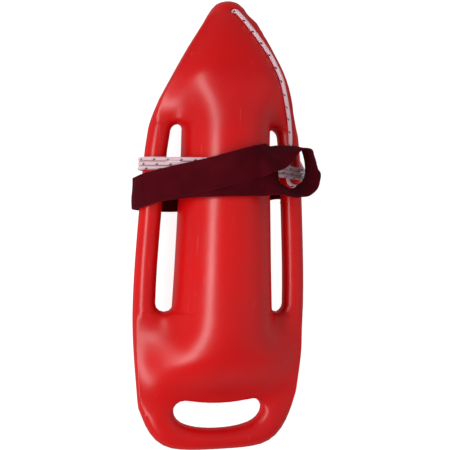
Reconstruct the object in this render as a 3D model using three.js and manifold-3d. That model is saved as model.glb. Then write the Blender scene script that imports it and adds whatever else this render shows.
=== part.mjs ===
import * as THREE from 'three';
import { mergeVertices } from 'three/addons/utils/BufferGeometryUtils.js';
import Module from 'manifold-3d';

// Rescue can buoy, lying on its back with the nose toward +Y and the front face up
// Lengths are in millimetres, and the hull's own frame has z = 0 in the plane of its grip rails

// Hull outline seen from the front
const hull_length = 735;
const hull_width = 289;
const rail_width = 36.5;
const outline_width_shares = [
  0, 0.066, 0.121, 0.17, 0.242, 0.309, 0.369, 0.478, 0.577, 0.671, 0.765, 0.83, 0.88, 0.907, 0.927,
  0.95, 0.972, 0.991, 1, 0.997, 0.974, 0.944, 0.905, 0.862, 0.786, 0.678, 0.54, 0.36,
];
const outline_length_shares = [
  0, 0.0015, 0.0057, 0.0129, 0.034, 0.0592, 0.0789, 0.1163, 0.1535, 0.19, 0.2268, 0.2585, 0.2912, 0.3265,
  0.37, 0.442, 0.517, 0.592, 0.66, 0.721, 0.786, 0.841, 0.8966, 0.9238, 0.9537, 0.9782, 0.9925, 0.9984,
];

// Grip slots between the rails and the body
const slot_from_nose = 207.5;
const slot_from_tail = 226;
const slot_start_radius = 9.5;
const slot_end_radius = 12.5;

// Hand slot across the tail
const tail_slot_from_tail = 81.5;
const tail_slot_width = 147.6;
const tail_slot_depth = 46.5;
const tail_slot_width_shares = [0, 0.325, 0.6, 0.786, 0.895, 0.969, 1, 0.969, 0.834, 0.583, 0.3];
const tail_slot_depth_shares = [0.129, 0.107, 0.043, 0, 0.032, 0.14, 0.333, 0.54, 0.755, 0.905, 0.978];
const tail_slot_corner = 5;

// Torpedo body at stations along the length
const body_width = 165;
const body_crest = 91.5;
const body_depth = 72;
const body_lift = 10.5;
const body_station_shares = [0, 0.15, 0.315, 0.486, 0.604, 0.66, 0.71, 0.77, 0.81, 0.85, 0.88, 1];
const body_width_shares = [0.92, 0.9, 0.88, 0.926, 0.961, 0.982, 1, 1, 0.98, 0.94, 0.9, 0.85];
const body_crest_shares = [0.84, 0.85, 0.865, 0.929, 0.973, 0.995, 1, 0.93, 0.76, 0.47, 0, 0];
const body_depth_shares = [0.97, 1, 1, 1, 1, 1, 0.985, 0.88, 0.7, 0.42, 0, 0];
const body_lift_shares = [0, 0, 0.57, 0.81, 0.95, 1, 0.95, 0.7, 0.42, 0.12, 0, 0];
const nose_width_share = 0.98;
const nose_crest_share = 0.9;
const nose_depth_share = 0.82;
const nose_width_blend = 26;
const nose_height_blend = 40;
const body_fillet = 17;

// Flat strip along the back that the can lies on
const belly_depth = 64;
const belly_blend = 4;

// Moulded shell, its foam filling and the plugged filling hole
const shell_wall = 3.6;
const slot_tip_wall_share = 1.5;
const slot_root_diameter = 36;
const seat_gap = 0.3;

// Hole for the tow rope through the nose
const nose_hole_from_tip = 24;
const nose_hole_diameter = 10;

// Filling hole in the belly and its push-in plug
const plug_from_tail = 205;
const plug_head_diameter = 26;
const plug_head_thickness = 2;
const plug_shank_diameter = 18;
const plug_shank_length = 11;
const plug_bore_diameter = 9;
const plug_bore_depth = 8;
const plug_clearance = 0.3;

// Tow rope, wound round the hull nose-ward in turns that lie side by side
const rope_diameter = 6.5;
const rope_clearance = 0.35;
const turn_count = 3;
const turn_gap = 0.6;
const turns_from_nose = 286.4;
const front_drop = 12.5;
const join_angle_degrees = 84;
const leave_angle_degrees = 17;
const cord_gap = 0.3;
const knot_clearance = 0.3;
const nose_tail_length = 16;

// Free rope from the nose hole down the right flank, under the turns and round to their start
const run_points = [
  [0, 343.5, -31.2], [0, 343.5, -12], [0, 343.5, 10], [0, 343.5, 24], [0.1, 343.4, 31], [1.3, 342.5, 36.6],
  [4.4, 340.2, 40.5], [8.8, 336.9, 42], [14.6, 333, 41.9], [21.7, 327.2, 40.8], [29.8, 319.6, 39.2],
  [38.6, 311.5, 36.8], [47.8, 303.6, 32.6], [59.7, 295.7, 25], [71.6, 287.5, 19], [84.1, 268.7, 13], [96.4, 247.7, 10.5],
  [103.4, 225.3, 11.5], [106.4, 203.2, 16.6], [107.2, 181, 21.4], [106.6, 158, 22.6], [107.3, 137.4, 21.4],
  [106.4, 119, 21], [105.7, 102.5, 20.5], [105, 88, 20], [104.8, 80, 20.1], [105.9, 74.9, 20.6],
  [108.7, 70.7, 21.5], [112.9, 67.8, 22.2],
];

// Short end of the rope, from the last turn through the fold of the harness to its knot
const tail_points = [
  [141.4, 95.8, -1.4], [141.4, 98.4, -5.4], [140.4, 102.6, -9], [138.8, 108.2, -12.2], [136.2, 114, -16],
  [132.6, 118.2, -20.8], [128.6, 119.6, -25.8], [125, 118, -30], [122.6, 113.6, -33], [121.4, 107.5, -34.3],
];

// Belt line that rope and harness follow round the hull
const belt_body_rise = 6;
const belly_corner_x = 32;
const belly_corner_radius = 20;

// Shoulder harness: one closed loop of webbing laid double, with its eye opened out at the right
const strap_width = 50;
const strap_thickness = 2;
const strap_gap = 0.6;
const strap_over_rope = 0.65;
const strap_from_nose = 323.5;
const fold_before_rail = 14;
const eye_from_share = 0.8;
const layer_length_shares = [0, 0.03, 0.11, 0.46, 0.61, 0.67, 0.705, 0.755, 0.82, 0.88, 0.94, 1];
const inner_y_shares = [0.58, 0.58, 0.4, 0, 0.05, 0.22, 0.3, 0.375, 0.43, 0.465, 0.495, 0.53];
const outer_y_shares = [0.58, 0.58, 0.4, 0, 0.05, 0.22, 0.31, 0.43, 0.57, 0.72, 0.91, 1.1];
const eye_x_shares = [
  0.3, 0.451, 0.574, 0.665, 0.759, 0.845, 0.896, 0.93, 0.93, 0.88, 0.816, 0.729, 0.613, 0.487, 0.332,
];
const eye_y_shares = [
  1.204, 1.335, 1.541, 1.642, 1.691, 1.633, 1.432, 1.13, 0.815, 0.569, 0.365, 0.235, 0.256, 0.32,
  0.521,
];
const eye_rise_shares = [
  1.395, 1.095, 0.875, 0.775, 0.735, 0.675, 0.615, 0.555, 0.585, 0.725, 0.875, 1.015, 1.155, 1.355,
  1.335,
];
const eye_width_shares = [
  [-0.01, 0.88, -0.47], [0.03, 0.79, -0.61], [0.19, 0.5, -0.84], [0.28, 0.34, -0.9],
  [0.2, 0.15, -0.97], [0.13, 0.03, -0.99], [0.07, 0.01, -1], [0, 0.08, -1], [-0.06, 0.09, -0.99],
  [-0.16, 0.16, -0.98], [-0.23, 0.22, -0.95], [-0.17, 0.26, -0.95], [-0.08, 0.37, -0.93],
  [-0.05, 0.53, -0.85], [-0.31, 0.95, -0.06],
];

// Mesh steps of the outer skin and of the lining
const skin_steps = { nose: 4, bow: 7, edge: 3, slot: 9, stern: 6, tail: 11, body: 7, rail: 6 };
const lining_steps = { nose: 3, bow: 6, edge: 2, slot: 6, stern: 5, tail: 8, body: 6, rail: 5 };
const belt_steps = { rail: 7, body: 4, corner: 3, fold: 6, strap_rail: 9, strap_body: 6, eye: 36 };
const winding_sides = 6;
const cord_sides = 10;
const steps_per_point = 2;
const ring_sides = 7;
const ring_steps = 14;
const round_sides = 24;
const overrun = 5;
const curve_samples = 480;
const seam_share = 0.72;

const nose_y = hull_length / 2;
const half_width = hull_width / 2;
const edge_radius = rail_width / 2;

const wasm = await Module();
wasm.setup();

function smooth_min(a, b, blend) {
  if (blend <= 0) return Math.min(a, b);
  const near = Math.max(blend - Math.abs(a - b), 0) / blend;
  return Math.min(a, b) - near * near * blend / 4;
}

function smooth_max(a, b, blend) {
  return -smooth_min(-a, -b, blend);
}

function smooth_step(value) {
  const t = THREE.MathUtils.clamp(value, 0, 1);
  return t * t * (3 - 2 * t);
}

// Height read from a table of stations, with a slope that never overshoots
function station_value(stations, values, at) {
  const last = stations.length - 1;
  const t = THREE.MathUtils.clamp(at, stations[0], stations[last]);
  let i = 0;
  while (i < last - 1 && t > stations[i + 1]) i += 1;
  const rise = (k) => (values[k + 1] - values[k]) / (stations[k + 1] - stations[k]);
  const slope = (k) => {
    if (k === 0) return rise(0);
    if (k === last) return rise(last - 1);
    const before = rise(k - 1);
    const after = rise(k);
    return before * after <= 0 ? 0 : 2 * before * after / (before + after);
  };
  const width = stations[i + 1] - stations[i];
  const u = (t - stations[i]) / width;
  const start = values[i] * (1 + 2 * u) * (1 - u) * (1 - u) + slope(i) * width * u * (1 - u) * (1 - u);
  const end = values[i + 1] * u * u * (3 - 2 * u) - slope(i + 1) * width * u * u * (1 - u);
  return start + end;
}

// Closed plan curve through points on the right side and their mirror images
function mirrored_curve(xs, ys, bottom_y) {
  const right = xs.map((x, i) => new THREE.Vector3(x, ys[i], 0));
  const left = right.slice(1).map((p) => new THREE.Vector3(-p.x, p.y, 0)).reverse();
  const bottom = new THREE.Vector3(0, bottom_y, 0);
  const curve = new THREE.CatmullRomCurve3([...right, bottom, ...left], true, 'centripetal');
  const points = [];
  const share = xs.length / (2 * xs.length);
  for (let i = 0; i <= curve_samples; i += 1) {
    const p = curve.getPoint(share * i / curve_samples);
    points.push(new THREE.Vector2(Math.max(p.x, 0), p.y));
  }
  points[0].x = 0;
  points[curve_samples].x = 0;
  return points;
}

function lengths_along(points) {
  const lengths = [0];
  for (let i = 1; i < points.length; i += 1) lengths.push(lengths[i - 1] + points[i].distanceTo(points[i - 1]));
  return lengths;
}

function point_along(points, lengths, share) {
  const target = share * lengths[lengths.length - 1];
  let i = 1;
  while (i < lengths.length - 1 && lengths[i] < target) i += 1;
  const t = (target - lengths[i - 1]) / (lengths[i] - lengths[i - 1]);
  return points[i - 1].clone().lerp(points[i], t);
}

// Plan curves of the outline and of the hand slot
const outline = mirrored_curve(
  outline_width_shares.map((share) => share * half_width),
  outline_length_shares.map((share) => nose_y - share * hull_length),
  -nose_y,
);
const tail_slot = mirrored_curve(
  tail_slot_width_shares.map((share) => share * tail_slot_width / 2),
  tail_slot_depth_shares.map((share) => tail_slot_from_tail - nose_y - share * tail_slot_depth),
  tail_slot_from_tail - nose_y - tail_slot_depth,
);

// Plan curve moved sideways by a wall, to its left as it runs
function moved_curve(points, distance) {
  return points.map((p, i) => {
    const before = points[Math.max(i - 1, 0)];
    const after = points[Math.min(i + 1, points.length - 1)];
    const along = after.clone().sub(before).normalize();
    const at_end = i === 0 || i === points.length - 1;
    const side = at_end ? new THREE.Vector2(0, Math.sign(along.x)) : new THREE.Vector2(-along.y, along.x);
    return new THREE.Vector2(at_end ? 0 : p.x + side.x * distance, p.y + side.y * distance);
  });
}

function curve_x(points, y) {
  let i = 1;
  while (i < points.length - 1 && points[i].y > y) i += 1;
  const a = points[i - 1];
  const b = points[i];
  const t = THREE.MathUtils.clamp((a.y - y) / Math.max(a.y - b.y, Number.EPSILON), 0, 1);
  return a.x + (b.x - a.x) * t;
}

function curve_y(points, x) {
  let i = 1;
  while (i < points.length - 1 && points[i].x < x) i += 1;
  const a = points[i - 1];
  const b = points[i];
  const t = THREE.MathUtils.clamp((x - a.x) / Math.max(b.x - a.x, Number.EPSILON), 0, 1);
  return a.y + (b.y - a.y) * t;
}

const tail_corner = tail_slot.reduce((best, p, i) => (
  p.x > tail_slot[best].x && p.y > tail_slot[0].y - tail_slot_corner ? i : best), 0);
const nose_row = outline.findIndex((p) => p.y < nose_y - edge_radius / 4);

// The hull's form, drawn again inside itself for the lining of the shell and for the foam
function hull_form(inset) {
  const edge = edge_radius - inset;
  const outer_curve = moved_curve(outline, -inset);
  const hand_slot = moved_curve(tail_slot, inset);
  const slot_top = nose_y - slot_from_nose + inset * slot_tip_wall_share;
  const slot_bottom = slot_from_tail - nose_y - inset * slot_tip_wall_share;
  const top_radius = slot_start_radius + inset;
  const bottom_radius = slot_end_radius + inset;

  function body_section(y) {
    const share = (nose_y - y) / hull_length;
    const at = (values) => station_value(body_station_shares, values, share);
    const side = curve_x(outer_curve, y);
    const in_body = (size, shares, half) => Math.max(at(shares) * size / half - inset, 0);
    return {
      width: smooth_min(side * nose_width_share, in_body(body_width, body_width_shares, 2), nose_width_blend),
      crest: smooth_min(side * nose_crest_share, in_body(body_crest, body_crest_shares, 1), nose_height_blend),
      depth: smooth_min(side * nose_depth_share, in_body(body_depth, body_depth_shares, 1), nose_height_blend),
      lift: at(body_lift_shares) * body_lift,
    };
  }

  // Inner and outer edge of the right grip slot, drawn together into its round ends
  function slot_edges(y) {
    const inner = body_section(y).width;
    const outer = curve_x(outer_curve, y) - rail_width + 2 * inset;
    const middle = (inner + outer) / 2;
    const cap = (distance, radius) => {
      const t = 1 - THREE.MathUtils.clamp(distance / radius, 0, 1);
      return Math.sqrt(1 - t * t);
    };
    const half = (outer - inner) / 2 * cap(slot_top - y, top_radius) * cap(y - slot_bottom, bottom_radius);
    return { inner: middle - half, outer: middle + half };
  }

  function slot_curve() {
    const points = [];
    for (let i = 0; i <= curve_samples; i += 1) {
      const turn = Math.PI * 2 * i / curve_samples;
      const y = (slot_top + slot_bottom) / 2 + Math.cos(turn) * (slot_top - slot_bottom) / 2;
      const edges = slot_edges(y);
      points.push(new THREE.Vector2(turn < Math.PI ? edges.outer : edges.inner, y));
    }
    return points;
  }

  const edge_curves = [outer_curve, hand_slot, slot_curve()];

  function edge_distance(x, y) {
    let best = Infinity;
    for (const curve of edge_curves) {
      for (let i = 1; i < curve.length; i += 1) {
        const a = curve[i - 1];
        const b = curve[i];
        const dx = b.x - a.x;
        const dy = b.y - a.y;
        const span = dx * dx + dy * dy;
        const t = span > 0 ? THREE.MathUtils.clamp(((x - a.x) * dx + (y - a.y) * dy) / span, 0, 1) : 0;
        best = Math.min(best, Math.hypot(x - a.x - dx * t, y - a.y - dy * t));
      }
    }
    return best;
  }

  // Height of the front and back skin over one point of the plan
  function skin_heights(x, y, on_edge) {
    const section = body_section(y);
    const inward = Math.min(edge_distance(x, y), edge);
    const plate = Math.sqrt(Math.max(edge ** 2 - (edge - inward) ** 2, 0));
    const round = section.width > 0 ? Math.sqrt(Math.max(1 - (x / section.width) ** 2, 0)) : 0;
    const rail_edge = curve_x(outer_curve, y) - rail_width + 2 * inset;
    const away = (Math.abs(x) - section.width) / Math.max(rail_edge - section.width, edge);
    const lift = section.lift * (1 - smooth_step(away));
    if (on_edge) return { front: lift, back: lift };
    const blend = (body_fillet - inset) * plate / edge;
    const rise = smooth_max(plate, Math.max(section.crest - lift, 0) * round, blend);
    const sink = section.depth > 0 ? section.depth + lift : 0;
    const fall = smooth_max(plate, sink * round, blend) - lift;
    return { front: lift + rise, back: -smooth_min(fall, Math.max(belly_depth - inset, fall - belly_depth), belly_blend) };
  }

  return { edge, outer_curve, hand_slot, slot_top, slot_bottom, top_radius, bottom_radius,
    body_section, slot_edges, skin_heights };
}

// Rows of the plan grid, close together where an edge rounds over
function round_rows(from, to, steps, dense_at_start) {
  const rows = [];
  for (let i = 1; i <= steps; i += 1) {
    const turn = Math.PI / 2 * i / steps;
    const t = dense_at_start ? 1 - Math.cos(turn) : Math.sin(turn);
    rows.push(from + (to - from) * t);
  }
  rows[steps - 1] = to;
  return rows;
}

function even_rows(from, to, steps) {
  return Array.from({ length: steps }, (_, i) => from + (to - from) * (i + 1) / steps);
}

function plan_rows(form, steps) {
  const { edge, slot_top, slot_bottom } = form;
  const tip = form.outer_curve[0].y;
  const cap_top = slot_top - form.top_radius;
  const cap_bottom = slot_bottom + form.bottom_radius;
  const tail_edge = form.hand_slot[0].y;
  const nose_round = edge * 2;
  return [
    tip,
    ...round_rows(tip, tip - nose_round, steps.nose, true),
    ...even_rows(tip - nose_round, slot_top + edge, steps.bow),
    ...round_rows(slot_top + edge, slot_top, steps.edge, false),
    ...round_rows(slot_top, cap_top, steps.edge, true),
    ...even_rows(cap_top, cap_bottom, steps.slot),
    ...round_rows(cap_bottom, slot_bottom, steps.edge, false),
    ...round_rows(slot_bottom, slot_bottom - edge, steps.edge, true),
    ...even_rows(slot_bottom - edge, tail_edge + edge, steps.stern),
    ...round_rows(tail_edge + edge, tail_edge, steps.edge, false),
  ];
}

// Closed skin: a front and a back sheet over the plan, sewn together round every edge
function hull_skin(inset, steps) {
  const form = hull_form(inset);
  const { edge, slot_top, slot_bottom, outer_curve, hand_slot } = form;
  const rows = plan_rows(form, steps);
  const last = rows.length - 1;
  const corner = hand_slot[tail_corner];
  const nose_half = outer_curve[nose_row].x;
  const nose_drop = outer_curve[0].y - outer_curve[nose_row].y;
  const wave = edge_radius * 3;
  const place = (x, y, on_edge) => ({ x, y, ...form.skin_heights(x, y, on_edge) });

  // Seam between the body and the side bands, open along the grip slot, else along the foot of the body
  const seam_x = (y) => {
    if (y < slot_top && y > slot_bottom) return form.slot_edges(y);
    const body_side = form.body_section(y).width;
    const foot = smooth_min(body_side, curve_x(outer_curve, y) * seam_share, nose_width_blend / 2);
    const slot_tip = y >= slot_top ? slot_top : slot_bottom;
    const near_slot = 1 - smooth_step(Math.abs(y - slot_tip) / rail_width);
    const near_tail = smooth_step((slot_bottom - y) / (slot_bottom - rows[last]));
    const along = foot + (form.slot_edges(slot_tip).inner - foot) * near_slot;
    const x = along + (corner.x - along) * near_tail;
    return { inner: x, outer: x };
  };

  const body = [];
  const band = [];
  rows.forEach((y, i) => {
    const first = i === 0;
    const nose_fade = Math.max(1 - (rows[0] - y) / (edge * 4), 0);
    const base = y - nose_drop * nose_fade;
    const side = first ? nose_half : curve_x(outer_curve, base);
    const seam = seam_x(base);
    const inner = first ? nose_half * seam_share : seam.inner;
    const outer = first ? nose_half * seam_share : seam.outer;
    const tail_fade = smooth_step(1 - (y - rows[last]) / wave);
    const upper_edge = hand_slot.slice(0, tail_corner + 1);
    const row_y = (x) => {
      const nose_lift = (nose_drop + curve_y(outer_curve, x / side * nose_half) - rows[0]) * nose_fade;
      const tail_edge = x < corner.x ? curve_y(upper_edge, x) : corner.y;
      return base + nose_lift + (tail_edge - rows[last]) * tail_fade;
    };
    const open = base <= slot_top && base >= slot_bottom;
    const body_row = [];
    for (let j = 0; j <= steps.body; j += 1) {
      const x = inner * Math.sin(Math.PI / 2 * j / steps.body);
      body_row.push(place(x, row_y(x), first || i === last || (open && j === steps.body)));
    }
    body.push(body_row);
    const band_row = [];
    for (let j = 0; j <= steps.rail; j += 1) {
      const x = outer + (side - outer) * (1 - Math.cos(Math.PI * j / steps.rail)) / 2;
      const on_edge = first || j === steps.rail || (j === 0 && (open || i === last));
      band_row.push(j === 0 && inner === outer ? body_row[steps.body] : place(x, row_y(x), on_edge));
    }
    band.push(band_row);
  });

  // Side band carried on round the end of the hand slot to the middle of the tail
  const slot_rest = hand_slot.slice(tail_corner);
  const slot_lengths = lengths_along(slot_rest);
  const start = band[last][steps.rail];
  const outline_rest = [new THREE.Vector2(start.x, start.y), ...outer_curve.filter((p) => p.y < start.y)];
  const outline_lengths = lengths_along(outline_rest);
  for (let i = 1; i <= steps.tail; i += 1) {
    const share = i / steps.tail;
    const inner = point_along(slot_rest, slot_lengths, share ** 1.5);
    const outer = point_along(outline_rest, outline_lengths, share);
    if (i === steps.tail) {
      inner.x = 0;
      outer.x = 0;
    }
    const band_row = [];
    for (let j = 0; j <= steps.rail; j += 1) {
      const p = inner.clone().lerp(outer, (1 - Math.cos(Math.PI * j / steps.rail)) / 2);
      band_row.push(place(p.x, p.y, j === 0 || j === steps.rail));
    }
    band.push(band_row);
  }

  const positions = [];
  const face = (corners, side, flip) => {
    for (const p of flip ? corners.reverse() : corners) positions.push(p.x, p.y, p[side]);
  };
  const sheet = (grid, sign) => {
    for (let i = 0; i + 1 < grid.length; i += 1) {
      for (let j = 0; j + 1 < grid[i].length; j += 1) {
        const quad = [grid[i][j], grid[i + 1][j], grid[i + 1][j + 1], grid[i][j + 1]];
        const [a, b, c, d] = quad.map((p) => ({ x: p.x * sign, y: p.y, front: p.front, back: p.back }));
        for (const side of ['front', 'back']) {
          const flip = (side === 'back') !== (sign < 0);
          face([a, b, c], side, flip);
          face([a, c, d], side, flip);
        }
      }
    }
  };
  for (const sign of [1, -1]) {
    sheet(body, sign);
    sheet(band, sign);
  }
  const geometry = new THREE.BufferGeometry();
  geometry.setAttribute('position', new THREE.Float32BufferAttribute(positions, 3));
  return mergeVertices(geometry);
}

// Skin moved inward by a small gap, each corner held to the faces that meet there
function moved_inward(geometry, distance) {
  const moved = geometry.clone();
  moved.computeVertexNormals();
  const position = moved.getAttribute('position');
  const normal = moved.getAttribute('normal');
  for (let i = 0; i < position.count; i += 1) {
    const p = new THREE.Vector3().fromBufferAttribute(position, i);
    const n = new THREE.Vector3().fromBufferAttribute(normal, i);
    p.addScaledVector(n, -distance);
    position.setXYZ(i, p.x, p.y, p.z);
  }
  return moved;
}

function to_solid(geometry) {
  const bare = new THREE.BufferGeometry();
  bare.setAttribute('position', geometry.getAttribute('position').clone());
  if (geometry.index) bare.setIndex(geometry.index.clone());
  const merged = mergeVertices(bare);
  const mesh = new wasm.Mesh({
    numProp: 3,
    vertProperties: new Float32Array(merged.getAttribute('position').array),
    triVerts: new Uint32Array(merged.index.array),
  });
  return new wasm.Manifold(mesh);
}

function to_geometry(solid) {
  const mesh = solid.getMesh();
  const geometry = new THREE.BufferGeometry();
  geometry.setAttribute('position', new THREE.Float32BufferAttribute(mesh.vertProperties, 3));
  geometry.setIndex(new THREE.Uint32BufferAttribute(mesh.triVerts, 1));
  return geometry;
}

// Round bar along Z between two heights
function upright_bar(diameter, x, y, from_z, to_z) {
  const bar = new THREE.CylinderGeometry(diameter / 2, diameter / 2, to_z - from_z, round_sides);
  bar.rotateX(Math.PI / 2);
  bar.translate(x, y, (from_z + to_z) / 2);
  bar.deleteAttribute('normal');
  bar.deleteAttribute('uv');
  return to_solid(bar);
}

const nose_hole_y = nose_y - nose_hole_from_tip;
const plug_y = plug_from_tail - nose_y;
const plug_inner_z = -belly_depth + plug_head_thickness + plug_shank_length;

function hull_pieces() {
  const reach = body_crest + overrun;
  const through = (diameter) => upright_bar(diameter, 0, nose_hole_y, -reach, reach);
  const plug_hole = (diameter, top) => upright_bar(diameter, 0, plug_y, -belly_depth - overrun, top);
  const form = hull_form(shell_wall);
  const root_x = form.slot_edges(form.slot_bottom).inner;
  const roots = (diameter) => upright_bar(diameter, root_x, form.slot_bottom, -reach, reach)
    .add(upright_bar(diameter, -root_x, form.slot_bottom, -reach, reach));
  const lining = hull_skin(shell_wall, lining_steps);
  const cavity = to_solid(lining)
    .subtract(roots(slot_root_diameter))
    .subtract(through(nose_hole_diameter + 2 * shell_wall));
  const shell = to_solid(hull_skin(0, skin_steps))
    .subtract(cavity)
    .subtract(through(nose_hole_diameter))
    .subtract(plug_hole(plug_shank_diameter, plug_inner_z))
    .subtract(plug_hole(plug_head_diameter, -belly_depth + plug_head_thickness));
  const foam = to_solid(moved_inward(lining, seat_gap))
    .subtract(roots(slot_root_diameter + 2 * seat_gap))
    .subtract(through(nose_hole_diameter + 2 * (shell_wall + seat_gap)))
    .subtract(plug_hole(plug_shank_diameter, plug_inner_z + seat_gap))
    .subtract(shell);
  return { shell: to_geometry(shell), foam: to_geometry(foam) };
}

// Push-in plug, hollow from the inner end, with its head flush in the belly
function plug_geometry() {
  const head = plug_head_diameter / 2 - plug_clearance;
  const shank = plug_shank_diameter / 2 - plug_clearance;
  const seat = plug_head_thickness - plug_clearance;
  const top = plug_head_thickness + plug_shank_length - plug_clearance;
  const bore = plug_bore_diameter / 2;
  const profile = [
    [0, 0], [head, 0], [head, seat], [shank, seat], [shank, top],
    [bore, top], [bore, top - plug_bore_depth], [0, top - plug_bore_depth],
  ];
  const plug = new THREE.LatheGeometry(profile.map(([r, z]) => new THREE.Vector2(r, z)), round_sides);
  plug.rotateX(Math.PI / 2);
  plug.translate(0, plug_y, -belly_depth);
  return closed_copy(plug);
}

function bare_copy(geometry) {
  const bare = new THREE.BufferGeometry();
  bare.setAttribute('position', geometry.getAttribute('position').clone());
  if (geometry.index) bare.setIndex(geometry.index.clone());
  return bare;
}

function closed_copy(geometry) {
  return to_geometry(to_solid(bare_copy(geometry)));
}

// Circles that a belt round the hull runs on, clockwise from the right rail as seen from the tail
function belt_circles(y, offset, rail_steps, body_steps) {
  const rail_x = curve_x(outline, y) - edge_radius;
  const corner_z = belly_corner_radius - belly_depth;
  const form = hull_form(0);
  let body_radius = 0;
  for (let i = 0; i <= round_sides; i += 1) {
    const x = form.body_section(y).width * i / round_sides;
    body_radius = Math.max(body_radius, Math.hypot(x, form.skin_heights(x, y, false).front - belt_body_rise));
  }
  const circles = [
    { x: rail_x, z: 0, radius: edge_radius + offset, steps: rail_steps },
    { x: belly_corner_x, z: corner_z, radius: belly_corner_radius + offset, steps: belt_steps.corner },
    { x: -belly_corner_x, z: corner_z, radius: belly_corner_radius + offset, steps: belt_steps.corner },
    { x: -rail_x, z: 0, radius: edge_radius + offset, steps: rail_steps },
    { x: 0, z: belt_body_rise, radius: body_radius + offset, steps: body_steps },
  ];
  circles.forEach((circle, i) => {
    const next = circles[(i + 1) % circles.length];
    const toward = Math.atan2(circle.z - next.z, circle.x - next.x);
    const span = Math.hypot(circle.x - next.x, circle.z - next.z);
    circle.leave = toward - Math.acos((next.radius - circle.radius) / span);
    next.arrive = circle.leave;
  });
  for (const circle of circles) {
    while (circle.arrive < circle.leave) circle.arrive += Math.PI * 2;
    while (circle.arrive - circle.leave > Math.PI * 2) circle.arrive -= Math.PI * 2;
  }
  return circles;
}

function on_circle(circle, angle, stretch) {
  return new THREE.Vector3(
    circle.x + circle.radius * stretch * Math.cos(angle), 0, circle.z + circle.radius * stretch * Math.sin(angle));
}

// Corners of a chain of straight pieces that touch the arc from outside
function arc_points(circle, from, to, steps) {
  const stretch = 1 / Math.cos((from - to) / steps / 2);
  return Array.from({ length: steps }, (_, k) => on_circle(circle, from + (to - from) * (k + 0.5) / steps, stretch));
}

// Centre line of the wound rope: every turn goes round the right rail, the back, the left rail and the front
function winding_points() {
  const pitch = rope_diameter + turn_gap;
  const first_y = nose_y - turns_from_nose;
  const start_y = first_y - 2 * pitch;
  const offset = rope_clearance + rope_diameter / 2;
  const [right, corner, far_corner, left, body] = belt_circles(
    start_y - rope_diameter / 2, offset, belt_steps.rail, belt_steps.body);
  const join = THREE.MathUtils.degToRad(join_angle_degrees);
  const leave = THREE.MathUtils.degToRad(leave_angle_degrees);
  const end_stub = (angle, sign) => on_circle(right, angle, 1)
    .add(new THREE.Vector3(Math.sin(angle), 0, -Math.cos(angle)).multiplyScalar(sign * rope_diameter / 2));
  const points = [];
  const lay = (list, y_at) => list.forEach((p) => points.push(p.setY(y_at(p.x))));
  const whole = (circle) => arc_points(circle, circle.arrive, circle.leave, circle.steps);
  const right_arrive = right.arrive - Math.PI * 2 * Math.round(right.arrive / Math.PI / 2);
  const right_leave = right_arrive + right.leave - right.arrive;
  const joined = Math.round(right.steps * (join - right_leave) / (right_arrive - right_leave));
  lay([end_stub(join, -1), ...arc_points(right, join, right_leave, joined)], () => start_y);
  for (let turn = 0; turn < turn_count; turn += 1) {
    const right_y = turn === 0 ? start_y : first_y + pitch * (turn - 1);
    const left_y = first_y + front_drop + pitch * turn;
    const next_y = first_y + pitch * turn;
    const over_back = (x) => right_y + (left_y - right_y) * (right.x - x) / (right.x - left.x);
    const over_front = (x) => left_y + (next_y - left_y) * (x - left.x) / (right.x - left.x);
    lay([...whole(corner), ...whole(far_corner)], over_back);
    lay(whole(left), () => left_y);
    lay(whole(body), over_front);
    const last = turn === turn_count - 1;
    const part = last ? Math.round(right.steps * (right_arrive - leave) / (right_arrive - right_leave)) : right.steps;
    lay(arc_points(right, right_arrive, last ? leave : right_leave, part), () => next_y);
    if (last) lay([end_stub(leave, 1)], () => next_y);
  }
  return points;
}

function to_vectors(points) {
  return points.map(([x, y, z]) => new THREE.Vector3(x, y, z));
}

function direction(from, to) {
  return to.clone().sub(from).normalize();
}

// Unbroken tube with closed ends along a chain of points
function tube_geometry(points, sides) {
  const last = points.length - 1;
  const positions = [];
  const triangles = [];
  const tangents = points.map((p, i) => direction(points[Math.max(i - 1, 0)], points[Math.min(i + 1, last)]));
  let across = new THREE.Vector3(tangents[0].z, tangents[0].x, tangents[0].y).cross(tangents[0]).normalize();
  points.forEach((p, i) => {
    across = across.clone().addScaledVector(tangents[i], -across.dot(tangents[i])).normalize();
    const up = tangents[i].clone().cross(across);
    for (let k = 0; k < sides; k += 1) {
      const turn = Math.PI * 2 * k / sides;
      const corner = p.clone()
        .addScaledVector(across, Math.cos(turn) * rope_diameter / 2)
        .addScaledVector(up, Math.sin(turn) * rope_diameter / 2);
      positions.push(corner.x, corner.y, corner.z);
    }
  });
  for (let i = 0; i < last; i += 1) {
    for (let k = 0; k < sides; k += 1) {
      const a = i * sides + k;
      const b = i * sides + (k + 1) % sides;
      triangles.push(a, b, b + sides, a, b + sides, a + sides);
    }
  }
  for (let k = 1; k + 1 < sides; k += 1) {
    triangles.push(0, k + 1, k, last * sides, last * sides + k, last * sides + k + 1);
  }
  const geometry = new THREE.BufferGeometry();
  geometry.setAttribute('position', new THREE.Float32BufferAttribute(positions, 3));
  geometry.setIndex(triangles);
  return geometry;
}

// Least clear space between parts of one tube that lie further apart along it than they are thick
function least_gap(points) {
  const samples = [];
  let travelled = 0;
  for (let i = 1; i < points.length; i += 1) {
    const span = points[i].distanceTo(points[i - 1]);
    const count = Math.ceil(span / rope_diameter * 4);
    for (let k = 0; k < count; k += 1) {
      samples.push({ p: points[i - 1].clone().lerp(points[i], k / count), at: travelled + span * k / count });
    }
    travelled += span;
  }
  let best = Infinity;
  for (const a of samples) {
    for (const b of samples) {
      if (b.at - a.at > rope_diameter * 4) best = Math.min(best, a.p.distanceTo(b.p));
    }
  }
  return { gap: best - rope_diameter, length: travelled };
}

// Smooth cord through points chosen by hand
function cord_curve(points) {
  const curve = new THREE.CatmullRomCurve3(points, false, 'centripetal');
  return curve.getPoints((points.length - 1) * steps_per_point);
}

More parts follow.
